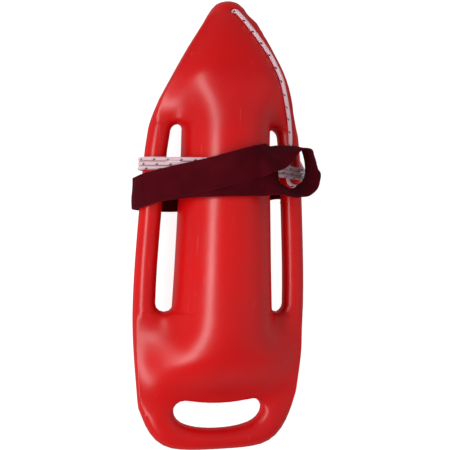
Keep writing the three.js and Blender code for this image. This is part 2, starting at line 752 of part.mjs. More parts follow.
// Place one half thickness on from a cord's end, so that the cord starts or ends straight
function half_step(from, along) {
  return from.clone().addScaledVector(along, rope_diameter / 2);
}

// Stopper knot: two crossed loops round a core, a stub that meets the rope and a free end
function knot_solid(centre, stub_end, free_points) {
  const loop_radius = rope_diameter / 2 + knot_clearance;
  const toward = direction(centre, stub_end);
  const turn = new THREE.Quaternion().setFromUnitVectors(new THREE.Vector3(0, 0, 1), toward);
  const core = new THREE.SphereGeometry(rope_diameter / 2, ring_steps, ring_sides);
  core.translate(centre.x, centre.y, centre.z);
  const stub = tube_geometry([centre, stub_end], cord_sides);
  const end = tube_geometry([centre, ...free_points], cord_sides);
  return [1, -1].reduce((solid, sign) => {
    const ring = new THREE.TorusGeometry(loop_radius, rope_diameter / 2, ring_sides, ring_steps);
    ring.rotateX(sign * Math.PI / 7);
    ring.applyQuaternion(turn);
    ring.translate(centre.x, centre.y, centre.z);
    return solid.add(to_solid(bare_copy(ring)));
  }, to_solid(bare_copy(core)).add(to_solid(stub)).add(to_solid(end)));
}

const knot_reach = rope_diameter + knot_clearance;

// Band of webbing along a closed ring of stations, each with its place and its width direction
function band_geometry(stations) {
  const positions = [];
  const triangles = [];
  const count = stations.length;
  stations.forEach((station, i) => {
    const before = stations[(i + count - 1) % count].p;
    const after = stations[(i + 1) % count].p;
    const along = direction(before, after);
    const width = station.w.clone().addScaledVector(along, -station.w.dot(along)).normalize();
    const out = along.clone().cross(width);
    for (const [w, n] of [[1, 1], [1, -1], [-1, -1], [-1, 1]]) {
      const corner = station.p.clone()
        .addScaledVector(width, w * strap_width / 2)
        .addScaledVector(out, n * strap_thickness / 2);
      positions.push(corner.x, corner.y, corner.z);
    }
  });
  for (let i = 0; i < count; i += 1) {
    const next = (i + 1) % count;
    for (let k = 0; k < 4; k += 1) {
      const m = (k + 1) % 4;
      const [a, b, c, d] = [i * 4 + k, i * 4 + m, next * 4 + m, next * 4 + k];
      if (k === 3) triangles.push(a, d, b, d, c, b);
      else triangles.push(a, c, b, a, d, c);
    }
  }
  const geometry = new THREE.BufferGeometry();
  geometry.setAttribute('position', new THREE.Float32BufferAttribute(positions, 3));
  geometry.setIndex(triangles);
  return geometry;
}

const strap_y = nose_y - strap_from_nose;
const inner_offset = rope_clearance + rope_diameter + strap_over_rope + strap_thickness / 2;
const outer_offset = inner_offset + strap_thickness + strap_gap;
const fold_radius = (rope_diameter + strap_thickness) / 2 + strap_gap;

// Middle of the fold at the right rail's back, where the rope goes through it
function fold_place() {
  const [right] = belt_circles(strap_y - strap_width / 2, inner_offset, belt_steps.strap_rail, belt_steps.strap_body);
  const out = new THREE.Vector3(Math.cos(right.leave), 0, Math.sin(right.leave));
  const back = new THREE.Vector3(Math.sin(right.leave), 0, -Math.cos(right.leave));
  const centre = on_circle(right, right.leave, 1)
    .addScaledVector(back, fold_before_rail)
    .addScaledVector(out, fold_radius);
  return { centre, out, back, y: strap_y + inner_y_shares[0] * strap_width };
}

// One layer of the harness from its fold round the back, the left rail and the front to its eye
function layer_points(offset, first, y_shares) {
  const [right, corner, far_corner, left, body] = belt_circles(
    strap_y - strap_width / 2, offset, belt_steps.strap_rail, belt_steps.strap_body);
  const whole = (circle) => arc_points(circle, circle.arrive, circle.leave, circle.steps);
  const mid_span = (from, to) => on_circle(from, from.leave, 1).lerp(on_circle(to, to.arrive, 1), 0.5);
  const eye_turn = THREE.MathUtils.lerp(body.arrive, body.leave, eye_from_share);
  const points = [
    first, first.clone().lerp(on_circle(corner, corner.arrive, 1), 0.12),
    first.clone().lerp(on_circle(corner, corner.arrive, 1), 0.4),
    ...whole(corner), ...whole(far_corner), mid_span(far_corner, left), ...whole(left),
    mid_span(left, body), ...arc_points(body, body.arrive, eye_turn, body.steps), on_circle(body, eye_turn, 1),
  ];
  const lengths = lengths_along(points);
  const total = lengths[lengths.length - 1];
  return points.map((p, i) => p.setY(strap_y + station_value(layer_length_shares, y_shares, lengths[i] / total) * strap_width));
}

function strap_geometry() {
  const { centre, out, back, y } = fold_place();
  const upright = new THREE.Vector3(0, 1, 0);
  const stretch = 1 / Math.cos(Math.PI / belt_steps.fold / 2);
  const fold = Array.from({ length: belt_steps.fold }, (_, k) => {
    const turn = Math.PI * (k + 0.5) / belt_steps.fold;
    return centre.clone().setY(y)
      .addScaledVector(out, Math.cos(turn) * fold_radius * stretch)
      .addScaledVector(back, -Math.sin(turn) * fold_radius * stretch);
  });
  const inner = layer_points(
    inner_offset, centre.clone().addScaledVector(out, -fold_radius), inner_y_shares);
  const outer = layer_points(
    outer_offset, centre.clone().addScaledVector(out, fold_radius), outer_y_shares);
  const eye_places = eye_x_shares.map((share, i) => new THREE.Vector3(
    share * half_width, strap_y + eye_y_shares[i] * strap_width, edge_radius + eye_rise_shares[i] * strap_width));
  const eye_widths = to_vectors(eye_width_shares);
  const eye_ends = [outer[outer.length - 1], inner[inner.length - 1]];
  const place_curve = new THREE.CatmullRomCurve3([eye_ends[0], ...eye_places, eye_ends[1]], false, 'centripetal');
  const width_curve = new THREE.CatmullRomCurve3([upright, ...eye_widths, upright], false, 'centripetal');
  const eye = Array.from({ length: belt_steps.eye - 1 }, (_, k) => {
    const t = (k + 1) / belt_steps.eye;
    return { p: place_curve.getPoint(t), w: width_curve.getPoint(t) };
  });
  const flat = (points) => points.map((p) => ({ p, w: upright }));
  return band_geometry([...flat(fold), ...flat(inner), ...eye.reverse(), ...flat(outer.reverse())]);
}

const red_plastic = new THREE.MeshStandardMaterial({ color: 0xc81c1c, roughness: 0.35, metalness: 0 });
const pale_foam = new THREE.MeshStandardMaterial({ color: 0xe8dcb4, roughness: 0.95, metalness: 0 });
const dark_plastic = new THREE.MeshStandardMaterial({ color: 0x8c1216, roughness: 0.5, metalness: 0 });

const pale_rope = new THREE.MeshStandardMaterial({ color: 0xe6e0de, roughness: 0.9, metalness: 0 });
const maroon_webbing = new THREE.MeshStandardMaterial({ color: 0x5c1220, roughness: 0.85, metalness: 0 });

const group = new THREE.Group();
function add(name, geometry, material) {
  const mesh = new THREE.Mesh(geometry, material);
  mesh.name = name;
  group.add(mesh);
  return mesh;
}

const hull = hull_pieces();
add('hull_shell', hull.shell, red_plastic);
add('foam_core', hull.foam, pale_foam);
add('filling_plug', plug_geometry(), dark_plastic);

// Rope, in three lengths that meet face to face, with its two knots
const winding = winding_points();
const measured = least_gap(winding);
console.log(`wound rope ${measured.length.toFixed(0)} mm, least gap ${measured.gap.toFixed(2)} mm`);
const winding_last = winding.length - 1;
const winding_start = direction(winding[1], winding[0]);
const winding_end = direction(winding[winding_last - 1], winding[winding_last]);
const run_end = winding[0].clone().addScaledVector(winding_start, cord_gap);
const tail_start = winding[winding_last].clone().addScaledVector(winding_end, cord_gap);
const fold = fold_place();
const harness_knot_place = fold.centre.clone().setY(fold.y - strap_width / 2 - knot_clearance - knot_reach);
const harness_knot_face = harness_knot_place.clone().setY(harness_knot_place.y + knot_reach);
const tail_end = harness_knot_face.clone().setY(harness_knot_face.y + cord_gap);
const fold_entry = tail_end.clone().setY(fold.y + strap_width / 2);
const free_end = [[131.5, 41, -28.5], [141.5, 43.5, -20.5], [147.5, 47, -12.5]];
const run_start = to_vectors(run_points.slice(0, 1))[0];
const nose_knot_face = run_start.clone().setZ(run_start.z - cord_gap);
const nose_knot_place = nose_knot_face.clone().setZ(nose_knot_face.z - knot_reach);
const nose_free_end = [nose_knot_place.clone().add(new THREE.Vector3(-nose_tail_length, 0, 0))];

const run = cord_curve([...to_vectors(run_points), half_step(run_end, winding_start)]);
const tail = cord_curve([
  half_step(tail_start, winding_end), ...to_vectors(tail_points), fold_entry, fold_entry.clone().lerp(tail_end, 0.5), tail_end]);

add('tow_rope_run', tube_geometry([...run, run_end], cord_sides), pale_rope);
add('tow_rope_winding', tube_geometry(winding, winding_sides), pale_rope);
add('tow_rope_tail', tube_geometry([tail_start, ...tail], cord_sides), pale_rope);
add('nose_knot', to_geometry(knot_solid(nose_knot_place, nose_knot_face, nose_free_end)), pale_rope);
add('harness_knot', to_geometry(knot_solid(harness_knot_place, harness_knot_face, to_vectors(free_end))), pale_rope);
add('harness_strap', strap_geometry(), maroon_webbing);

// Origin under the middle of everything but the rope
const bounds = new THREE.Box3();
for (const mesh of group.children) {
  if (mesh.material !== pale_rope) bounds.expandByObject(mesh);
}
const middle = bounds.getCenter(new THREE.Vector3());
group.position.set(-middle.x, -middle.y, -bounds.min.z);

export default group;
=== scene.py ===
import math

import bmesh
import bpy
import numpy as np
from mathutils import Matrix, Vector
from mathutils.bvhtree import BVHTree


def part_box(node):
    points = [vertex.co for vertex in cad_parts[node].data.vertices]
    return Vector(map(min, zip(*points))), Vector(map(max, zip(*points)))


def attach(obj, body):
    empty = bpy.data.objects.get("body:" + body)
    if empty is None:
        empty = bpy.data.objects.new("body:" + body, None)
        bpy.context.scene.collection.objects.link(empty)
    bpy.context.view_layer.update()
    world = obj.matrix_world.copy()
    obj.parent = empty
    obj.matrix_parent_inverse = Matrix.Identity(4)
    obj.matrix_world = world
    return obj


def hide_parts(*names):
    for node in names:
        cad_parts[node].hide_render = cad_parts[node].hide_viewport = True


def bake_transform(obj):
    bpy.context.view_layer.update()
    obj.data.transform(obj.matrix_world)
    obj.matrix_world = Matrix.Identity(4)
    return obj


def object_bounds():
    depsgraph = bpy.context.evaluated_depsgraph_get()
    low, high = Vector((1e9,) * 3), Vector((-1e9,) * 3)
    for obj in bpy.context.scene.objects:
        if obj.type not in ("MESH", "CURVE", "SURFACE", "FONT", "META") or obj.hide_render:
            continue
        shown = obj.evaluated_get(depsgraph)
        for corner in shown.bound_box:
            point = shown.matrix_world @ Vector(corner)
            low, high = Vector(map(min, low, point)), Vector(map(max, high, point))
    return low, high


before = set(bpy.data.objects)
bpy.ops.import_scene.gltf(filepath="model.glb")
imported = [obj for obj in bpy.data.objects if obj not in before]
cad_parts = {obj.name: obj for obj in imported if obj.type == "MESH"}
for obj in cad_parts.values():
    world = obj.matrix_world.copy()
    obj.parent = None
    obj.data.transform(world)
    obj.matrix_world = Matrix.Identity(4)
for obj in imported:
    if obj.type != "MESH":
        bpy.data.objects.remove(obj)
cad_low, cad_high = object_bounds()
cad_box = [list(cad_low), list(cad_high)]

# The hull's own frame, in millimetres, has z = 0 in the plane of its rails and y = 0 at mid length
MM = 0.001
BELLY_DEPTH = 64.0
hull_low, hull_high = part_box("hull_shell")
HULL = np.array([
    (hull_low.x + hull_high.x) / 2,
    (hull_low.y + hull_high.y) / 2,
    hull_low.z + BELLY_DEPTH * MM,
])


def placed(points):
    """Points of the hull's frame, in millimetres, as points of the row frame, in metres."""
    return HULL + np.asarray(points, float) * MM


def unit(v):
    v = np.asarray(v, float)
    return v / np.linalg.norm(v)


# Camera

CAMERA_SIDE, CAMERA_TILT, CAMERA_ROLL = 0.2748, 0.0084, 0.02715
CAMERA_DISTANCE = 1200.0
CAMERA_TARGET = (4.43, 0.03, 0.0)
FOCAL_PX, FRAME_PX, SENSOR = 728.7, 450.0, 36.0


def make_camera():
    back = np.array([
        -math.sin(CAMERA_SIDE) * math.cos(CAMERA_TILT),
        -math.sin(CAMERA_TILT),
        math.cos(CAMERA_SIDE) * math.cos(CAMERA_TILT),
    ])
    right = unit(np.cross([0, 1, 0], back))
    up = np.cross(back, right)
    c, s = math.cos(CAMERA_ROLL), math.sin(CAMERA_ROLL)
    right, up = c * right + s * up, -s * right + c * up
    eye = placed(np.array(CAMERA_TARGET) + CAMERA_DISTANCE * back)
    data = bpy.data.cameras.new("camera")
    data.sensor_width = SENSOR
    data.lens = FOCAL_PX * SENSOR / FRAME_PX
    data.clip_start, data.clip_end = 0.01, 50
    camera = bpy.data.objects.new("camera", data)
    bpy.context.scene.collection.objects.link(camera)
    camera.matrix_world = Matrix([[right[i], up[i], back[i], eye[i]] for i in range(3)] + [[0, 0, 0, 1]])
    bpy.context.scene.camera = camera


make_camera()

# Meshes


def mesh_object(name, verts, faces, uvs=None, smooth=True):
    """A mesh from points in metres, faces of point numbers and one (u, v) for each corner of each face."""
    mesh = bpy.data.meshes.new(name)
    mesh.from_pydata(np.asarray(verts).tolist(), [], [list(map(int, f)) for f in faces])
    if uvs is not None:
        layer = mesh.uv_layers.new(name="UVMap")
        layer.data.foreach_set("uv", np.asarray(uvs, np.float32).ravel())
    mesh.update()
    if smooth:
        mesh.polygons.foreach_set("use_smooth", [True] * len(mesh.polygons))
    obj = bpy.data.objects.new(name, mesh)
    bpy.context.scene.collection.objects.link(obj)
    return obj


def lengths_along(points):
    return np.concatenate([[0], np.cumsum(np.linalg.norm(np.diff(points, axis=0), axis=1))])


def resampled(points, step):
    """The same line with its points a step apart."""
    at = lengths_along(points)
    count = max(2, int(round(at[-1] / step)) + 1)
    new = np.linspace(0, at[-1], count)
    return np.column_stack([np.interp(new, at, points[:, k]) for k in range(points.shape[1])])


def smoothed(values, width, closed=False):
    """Gaussian mean over neighbouring rows, with the ends kept where the line is open."""
    reach = int(3 * width)
    kernel = np.exp(-0.5 * (np.arange(-reach, reach + 1) / width) ** 2)
    kernel /= kernel.sum()
    if closed:
        long = np.concatenate([values[-reach:], values, values[:reach]])
    else:
        head = 2 * values[0] - values[1:reach + 1][::-1]
        tail = 2 * values[-1] - values[-reach - 1:-1][::-1]
        long = np.concatenate([head, values, tail])
    return np.column_stack([np.convolve(long[:, k], kernel, "valid") for k in range(values.shape[1])])


def centripetal(points, counts, closed=False):
    """Centripetal Catmull-Rom curve through the points, with a number of steps for each span."""
    points = np.asarray(points, float)
    n = len(points)
    out = []
    for i in range(n if closed else n - 1):
        if closed:
            p0, p1, p2, p3 = (points[(i + k) % n] for k in (-1, 0, 1, 2))
        else:
            p1, p2 = points[i], points[i + 1]
            p0 = points[i - 1] if i else 2 * p1 - p2
            p3 = points[i + 2] if i + 2 < n else 2 * p2 - p1
        d0, d1, d2 = (math.sqrt(np.linalg.norm(b - a)) or 1e-6 for a, b in ((p0, p1), (p1, p2), (p2, p3)))
        t1 = ((p1 - p0) / d0 - (p2 - p0) / (d0 + d1) + (p2 - p1) / d1) * d1
        t2 = ((p2 - p1) / d1 - (p3 - p1) / (d1 + d2) + (p3 - p2) / d2) * d1
        for k in range(counts):
            t = k / counts
            out.append(
                p1 * (2 * t ** 3 - 3 * t ** 2 + 1) + p2 * (3 * t ** 2 - 2 * t ** 3)
                + t1 * (t ** 3 - 2 * t ** 2 + t) + t2 * (t ** 3 - t ** 2))
    if not closed:
        out.append(points[-1])
    return np.array(out)


# The rope's route

ROPE = 6.5
EDGE_RADIUS = 18.25
ROPE_OFFSET = 3.6
# The circles that a belt round the hull follows, as the part's source works them out
RAIL_X, BODY_RADIUS, BODY_RISE = 117.7827, 76.1489, 6.0
CORNER_X, CORNER_Z, CORNER_RADIUS = 32.0, -44.0, 20.0
TURNS, PITCH, FRONT_DROP = 3, 7.1, 5.5
FIRST_Y = 81.1
START_Y = FIRST_Y - 2 * PITCH
JOIN_ANGLE, LEAVE_ANGLE = math.radians(84), math.radians(17)
TAIL_START = (0.4, 0, -1.3)
ROPE_STEP, ROUTE_SPAN_STEPS, ROUTE_SMOOTHING = 0.6, 12, 4.0

# The rope's run. Over the bow it doesn't repeat the CAD's points: programs outside this script worked
# them out, from points read off the photograph and from the height of hull_skin under the rope
RUN_POINTS = [
    (0, 343.5, -31.2), (0, 343.5, -12), (0, 343.5, 10), (0, 343.5, 24), (0.1, 343.4, 31),
    (1.4, 342.9, 35.6), (4.6, 340.3, 39.4), (8.3, 336.6, 39.6), (12.3, 332.1, 41.7), (19.5, 322, 46.1),
    (26.8, 312.1, 49.5), (39.2, 295.3, 53.7), (53.7, 276.1, 55.7), (65.9, 255, 57.8), (76.1, 234.8, 57.2),
    (84.6, 215, 50.3), (93.9, 197.2, 37.4), (101.5, 181, 26.7), (105.8, 163, 21.2), (107.3, 143, 21.2),
    (106.9, 125, 20.4), (106, 105, 20.6), (105, 88, 20), (104.8, 80, 20.1), (105.9, 74.9, 20.6),
    (108.7, 70.7, 21.5), (112.9, 67.8, 22.2),
]
TAIL_POINTS = [
    (141.4, 95.8, -1.4), (141.4, 98.4, -5.4), (140.4, 102.6, -9), (138.8, 108.2, -12.2), (136.2, 114, -16),
    (132.6, 118.2, -20.8), (128.6, 119.6, -25.8), (125, 118, -30), (122.6, 113.6, -33), (121.4, 107.5, -34.3),
    (122.58, 98, -34.5), (122.58, 73, -34.5), (122.58, 48, -34.5),
]


def belt_circles(rail_x, body_radius, offset):
    """The five arcs that a belt round the hull follows, each with the angles where it arrives and leaves."""
    circles = [
        {"x": rail_x, "z": 0.0, "r": EDGE_RADIUS + offset},
        {"x": CORNER_X, "z": CORNER_Z, "r": CORNER_RADIUS + offset},
        {"x": -CORNER_X, "z": CORNER_Z, "r": CORNER_RADIUS + offset},
        {"x": -rail_x, "z": 0.0, "r": EDGE_RADIUS + offset},
        {"x": 0.0, "z": BODY_RISE, "r": body_radius + offset},
    ]
    for i, circle in enumerate(circles):
        after = circles[(i + 1) % 5]
        toward = math.atan2(circle["z"] - after["z"], circle["x"] - after["x"])
        span = math.hypot(circle["x"] - after["x"], circle["z"] - after["z"])
        circle["leave"] = toward - math.acos((after["r"] - circle["r"]) / span)
        after["arrive"] = circle["leave"]
    for circle in circles:
        while circle["arrive"] < circle["leave"]:
            circle["arrive"] += 2 * math.pi
        while circle["arrive"] - circle["leave"] > 2 * math.pi:
            circle["arrive"] -= 2 * math.pi
    return circles


def arc(circle, start, end, y_at, step=1.0):
    """Points (x, y, z) along one arc."""
    count = max(2, int(abs(start - end) * circle["r"] / step) + 1)
    angles = np.linspace(start, end, count)
    x = circle["x"] + circle["r"] * np.cos(angles)
    z = circle["z"] + circle["r"] * np.sin(angles)
    return np.column_stack([x, [y_at(v) for v in x], z])


def winding_line():
    """The rope's turns round the hull, from the end of its run to the start of its tail."""
    right, corner, far_corner, left, body = belt_circles(RAIL_X, BODY_RADIUS, ROPE_OFFSET)
    arrive = right["arrive"] - 2 * math.pi * round(right["arrive"] / math.pi / 2)
    leave = arrive + right["leave"] - right["arrive"]
    parts = [arc(right, JOIN_ANGLE, leave, lambda x: START_Y)]
    for turn in range(TURNS):
        right_y = START_Y if turn == 0 else FIRST_Y + PITCH * (turn - 1)
        left_y = FIRST_Y + FRONT_DROP + PITCH * turn
        next_y = FIRST_Y + PITCH * turn
        span = right["x"] - left["x"]

        def over_back(x):
            return right_y + (left_y - right_y) * (right["x"] - x) / span

        def over_front(x):
            return left_y + (next_y - left_y) * (x - left["x"]) / span

        parts.append(arc(corner, corner["arrive"], corner["leave"], over_back))
        parts.append(arc(far_corner, far_corner["arrive"], far_corner["leave"], over_back))
        parts.append(arc(left, left["arrive"], left["leave"], lambda x: left_y))
        parts.append(arc(body, body["arrive"], body["leave"], over_front))
        end = LEAVE_ANGLE if turn == TURNS - 1 else leave
        parts.append(arc(right, arrive, end, lambda x: next_y))
    return np.concatenate(parts)


run_line = centripetal(RUN_POINTS, ROUTE_SPAN_STEPS)
winding = winding_line()
tail_line = centripetal([winding[-1] + TAIL_START] + TAIL_POINTS, ROUTE_SPAN_STEPS)
main_rough = np.concatenate([run_line, winding])
main_length = lengths_along(main_rough)[-1]
whole = smoothed(resampled(np.concatenate([main_rough, tail_line]), ROPE_STEP), ROUTE_SMOOTHING)
split = int(round(main_length / ROPE_STEP))

# Braided rope as a mesh

PICKS = 6
PICK_LENGTH = 3.8
ROPE_SIDES = 36
BRAID_DEPTH, STRAND_SWELL = 0.65, 0.06
CUT_END, CUT_END_LEAST = ROPE * 0.28, 0.12


def frames_along(line):
    """Two directions across the line at each point, without twist."""
    tangents = np.gradient(line, axis=0)
    tangents /= np.linalg.norm(tangents, axis=1)[:, None]
    across = unit(np.cross(tangents[0], (0.31, 0.53, 0.79)))
    first, second = [], []
    for t in tangents:
        across = across - t * across.dot(t)
        across /= np.linalg.norm(across)
        first.append(across)
        second.append(np.cross(t, across))
    return np.array(first), np.array(second)


def braid_height(u, v):
    """How far a strand stands out of the braid, from 0 to 1. u counts picks round it and v picks along it."""
    a, b = u + v, u - v
    over = (np.floor(a) + np.floor(b)) % 2 < 0.5
    fa, fb = np.sin(np.pi * (a % 1)), np.sin(np.pi * (b % 1))
    return np.where(over, np.sqrt(fa) * (0.5 + 0.5 * fb), np.sqrt(fb) * (0.5 + 0.5 * fa))


def rope_mesh(name, line, frames, start_at=0.0, cut_end=False):
    """A braided rope along a line in the hull's frame, with closed ends, a cut one drawn in as if melted."""
    sides = ROPE_SIDES
    first, second = frames
    at = start_at + lengths_along(line)
    scale = np.ones(len(line))
    if cut_end:
        scale = np.sqrt(np.clip((at[-1] - at) / CUT_END, CUT_END_LEAST, 1))
    turn = np.arange(sides) / sides
    u, v = np.meshgrid(turn * PICKS, at / PICK_LENGTH)
    radius = (ROPE / 2 - BRAID_DEPTH * (1 - braid_height(u, v)) + STRAND_SWELL) * scale[:, None]
    ring = 2 * np.pi * turn
    points = (
        line[:, None, :]
        + first[:, None, :] * (radius * np.cos(ring))[:, :, None]
        + second[:, None, :] * (radius * np.sin(ring))[:, :, None])
    verts = placed(points.reshape(-1, 3))
    rows, k = len(line), np.arange(sides)
    i = np.arange(rows - 1)[:, None] * sides
    after = (k + 1) % sides
    quads = np.stack([i + k, i + after, i + sides + after, i + sides + k], axis=-1).reshape(-1, 4)
    u0, u1 = k / sides * PICKS, (k + 1) / sides * PICKS
    v0, v1 = (at[:-1] / PICK_LENGTH)[:, None], (at[1:] / PICK_LENGTH)[:, None]
    ones = np.ones((rows - 1, sides))
    uv = np.stack([
        np.stack([u0 * ones, v0 * ones], -1), np.stack([u1 * ones, v0 * ones], -1),
        np.stack([u1 * ones, v1 * ones], -1), np.stack([u0 * ones, v1 * ones], -1)], axis=2)
    verts = np.concatenate([verts, placed([line[0], line[-1]])])
    faces = [tuple(q) for q in quads]
    caps, cap_uv = [], []
    last = (rows - 1) * sides
    for j in range(sides):
        m = (j + 1) % sides
        caps.append((len(verts) - 2, m, j))
        caps.append((len(verts) - 1, last + j, last + m))
        cap_uv += [(0.5, v0[0, 0])] * 3 + [(0.5, v1[-1, 0])] * 3
    return mesh_object(name, verts, faces + caps, np.concatenate([uv.reshape(-1, 2), np.array(cap_uv)]))


whole_frames = frames_along(whole)


def part_of(first_row, last_row):
    rows = slice(first_row, last_row)
    return whole[rows], (whole_frames[0][rows], whole_frames[1][rows])


main_line, main_frames = part_of(0, split + 1)
tail_part, tail_frames = part_of(split, len(whole))
rope_main = rope_mesh("rope_main", main_line, main_frames)
rope_tail = rope_mesh("rope_tail", tail_part, tail_frames, start_at=split * ROPE_STEP)

# Tight overhand knots

# An overhand knot pulled tight: the rope's middle line from where it comes in, at the top, to its way out.
# A program outside this script worked the points out, by drawing a rope tight round itself
KNOT_POINTS = [
    (0, 0, 0), (-1.3, -3.5, -0.1), (-2.6, -6.9, -0.5), (-4.0, -9.9, -2.1), (-6.5, -12.3, -3.3),
    (-8.7, -15.1, -2.4), (-9.3, -17.7, 0.1), (-8.1, -19.5, 3.1), (-5.4, -19.9, 5.4), (-2.0, -18.9, 6.3),
    (1.0, -16.9, 5.4), (2.4, -14.6, 2.9), (2.7, -12.5, -0.2), (2.4, -10.3, -3.2), (1.0, -8.1, -5.7),
    (-2.0, -6.1, -6.6), (-5.4, -5.1, -5.7), (-8.1, -5.5, -3.4), (-9.3, -7.2, -0.4), (-8.7, -9.8, 2.1),
    (-6.5, -12.6, 3.0), (-4.0, -15.0, 1.8), (-2.6, -18.0, 0.2), (-1.3, -21.4, -0.2), (0, -24.9, -0.3),
]
KNOT_LENGTH = 24.9
KNOT_STEP, KNOT_SPAN_STEPS, KNOT_SMOOTHING = 0.55, 8, 2.0
NOSE_KNOT_FACE, HARNESS_KNOT_FACE = (0, 343.5, -31.5), (122.58, 47.7, -34.5)
HARNESS_KNOT_TURN = 0.8


def knot_line(face, toward, free_points, turn=0.0):
    """A knot whose rope arrives at face, coming from toward, its free end led through the given points."""
    core = np.array(KNOT_POINTS)
    c, s = math.cos(turn), math.sin(turn)
    core = np.column_stack([c * core[:, 0] + s * core[:, 2], core[:, 1], -s * core[:, 0] + c * core[:, 2]])
    up = unit(toward)
    side = unit(np.cross(up, (0.2, 0.1, 1.0) if abs(up[2]) < 0.9 else (1.0, 0.1, 0.0)))
    core = core[:, [0]] * side + core[:, [1]] * up + core[:, [2]] * np.cross(side, up)
    line = np.concatenate([core + np.asarray(face, float), np.asarray(free_points, float)])
    return smoothed(resampled(centripetal(line, KNOT_SPAN_STEPS), KNOT_STEP), KNOT_SMOOTHING)


def knot_mesh(name, line):
    return rope_mesh(name, line, frames_along(line), cut_end=True)


nose_bottom = NOSE_KNOT_FACE[2] - KNOT_LENGTH
nose_free_end = [(-2, 343, nose_bottom - 3), (-7, 342, nose_bottom - 5), (-13, 341.5, nose_bottom - 4.5)]
knot_nose = knot_mesh("knot_nose", knot_line(NOSE_KNOT_FACE, (0, 0, 1), nose_free_end))
harness_bottom = HARNESS_KNOT_FACE[1] - KNOT_LENGTH
harness_free_end = [
    (124, harness_bottom - 4, -33), (129, harness_bottom - 7, -30), (136, harness_bottom - 5, -25.5),
    (141, harness_bottom + 1, -20)]
knot_harness = knot_mesh("knot_harness", knot_line(
    HARNESS_KNOT_FACE, (0, 1, 0), harness_free_end, turn=HARNESS_KNOT_TURN))

for piece, body in ((rope_main, "hull"), (knot_nose, "hull"), (knot_harness, "harness")):
    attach(piece, body)
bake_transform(rope_tail)
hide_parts("tow_rope_run", "tow_rope_winding")
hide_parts("tow_rope_tail")
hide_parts("nose_knot")
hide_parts("harness_knot")

# Shoulder harness of 50 mm webbing

STRAP_WIDTH, STRAP_THICKNESS, STRAP_Y = 50.0, 2.0, 44.0
INNER_OFFSET, OUTER_OFFSET = 8.5, 11.1
STRAP_RAIL_X, STRAP_BODY_RADIUS = 120.43, 78.5824
# The fold at the rope's end, as the part's source works it out
FOLD_CENTRE, FOLD_OUT, FOLD_BACK = (122.5843, 73.0, -34.4952), (0.4613, 0, -0.8873), (-0.8873, 0, -0.4613)
FOLD_RADIUS, FOLD_STEPS = 4.85, 8
LAYER_STEP, EYE_SPAN_STEPS = 2.5, 8
PLACE_SMOOTHING, WIDTH_SMOOTHING = 1.2, 1.5
EDGE_INSET, EDGE_ROUND, EDGE_SHARE = 0.6, 0.18, 0.72
WEBBING_SIDES, UV_PER_MM = 22, 0.1
LAYER_LENGTHS = [0, 0.03, 0.11, 0.46, 0.61, 0.67, 0.705, 0.755, 0.82, 0.88, 0.94, 1]
INNER_SHARES = (LAYER_LENGTHS, [0.58, 0.58, 0.4, 0, 0.05, 0.22, 0.3, 0.375, 0.43, 0.465, 0.495, 0.53])
OUTER_SHARES = (LAYER_LENGTHS, [0.58, 0.58, 0.4, 0, 0.05, 0.22, 0.31, 0.43, 0.57, 0.72, 0.91, 1.1])
HALF_WIDTH = 144.5
EYE_FROM = 0.8
# The eye's places and width directions, which the part's source has too. A program outside both worked
# them out, from the two edges of the webbing as read off the photograph and heights chosen by hand
EYE_X = [
    0.3, 0.451, 0.574, 0.665, 0.759, 0.845, 0.896, 0.93, 0.93, 0.88, 0.816, 0.729, 0.613, 0.487, 0.332]
EYE_Y = [
    1.204, 1.335, 1.541, 1.642, 1.691, 1.633, 1.432, 1.13, 0.815, 0.569, 0.365, 0.235, 0.256, 0.32,
    0.521]
EYE_RISE = [
    1.395, 1.095, 0.875, 0.775, 0.735, 0.675, 0.615, 0.555, 0.585, 0.725, 0.875, 1.015, 1.155, 1.355,
    1.335]
EYE_WIDTHS = [
    (-0.01, 0.88, -0.47), (0.03, 0.79, -0.61), (0.19, 0.5, -0.84), (0.28, 0.34, -0.9),
    (0.2, 0.15, -0.97), (0.13, 0.03, -0.99), (0.07, 0.01, -1), (0, 0.08, -1), (-0.06, 0.09, -0.99),
    (-0.16, 0.16, -0.98), (-0.23, 0.22, -0.95), (-0.17, 0.26, -0.95), (-0.08, 0.37, -0.93),
    (-0.05, 0.53, -0.85), (-0.31, 0.95, -0.06)]


def station_value(stations, values, at):
    """Monotone smooth value between stations."""
    last = len(stations) - 1
    t = min(max(at, stations[0]), stations[last])
    i = 0
    while i < last - 1 and t > stations[i + 1]:
        i += 1

    def rise(k):
        return (values[k + 1] - values[k]) / (stations[k + 1] - stations[k])

    def slope(k):
        if k == 0:
            return rise(0)
        if k == last:
            return rise(last - 1)
        before, after = rise(k - 1), rise(k)
        return 0 if before * after <= 0 else 2 * before * after / (before + after)

    width = stations[i + 1] - stations[i]
    u = (t - stations[i]) / width
    start = values[i] * (1 + 2 * u) * (1 - u) ** 2 + slope(i) * width * u * (1 - u) ** 2
    return start + values[i + 1] * u * u * (3 - 2 * u) - slope(i + 1) * width * u * u * (1 - u)


def layer_line(offset, first, shares):
    """Middle line of one layer of the harness from its fold round the hull to its eye."""
    right, corner, far_corner, left, body = belt_circles(STRAP_RAIL_X, STRAP_BODY_RADIUS, offset)

    def flat(x):
        return 0.0

    eye_turn = body["arrive"] + (body["leave"] - body["arrive"]) * EYE_FROM
    line = np.concatenate([
        [first], arc(corner, corner["arrive"], corner["leave"], flat),
        arc(far_corner, far_corner["arrive"], far_corner["leave"], flat),
        arc(left, left["arrive"], left["leave"], flat), arc(body, body["arrive"], eye_turn, flat)])
    line[:, 1] = 0
    line = resampled(line, LAYER_STEP)
    at = lengths_along(line)
    line[:, 1] = [STRAP_Y + station_value(*shares, a / at[-1]) * STRAP_WIDTH for a in at]
    return line


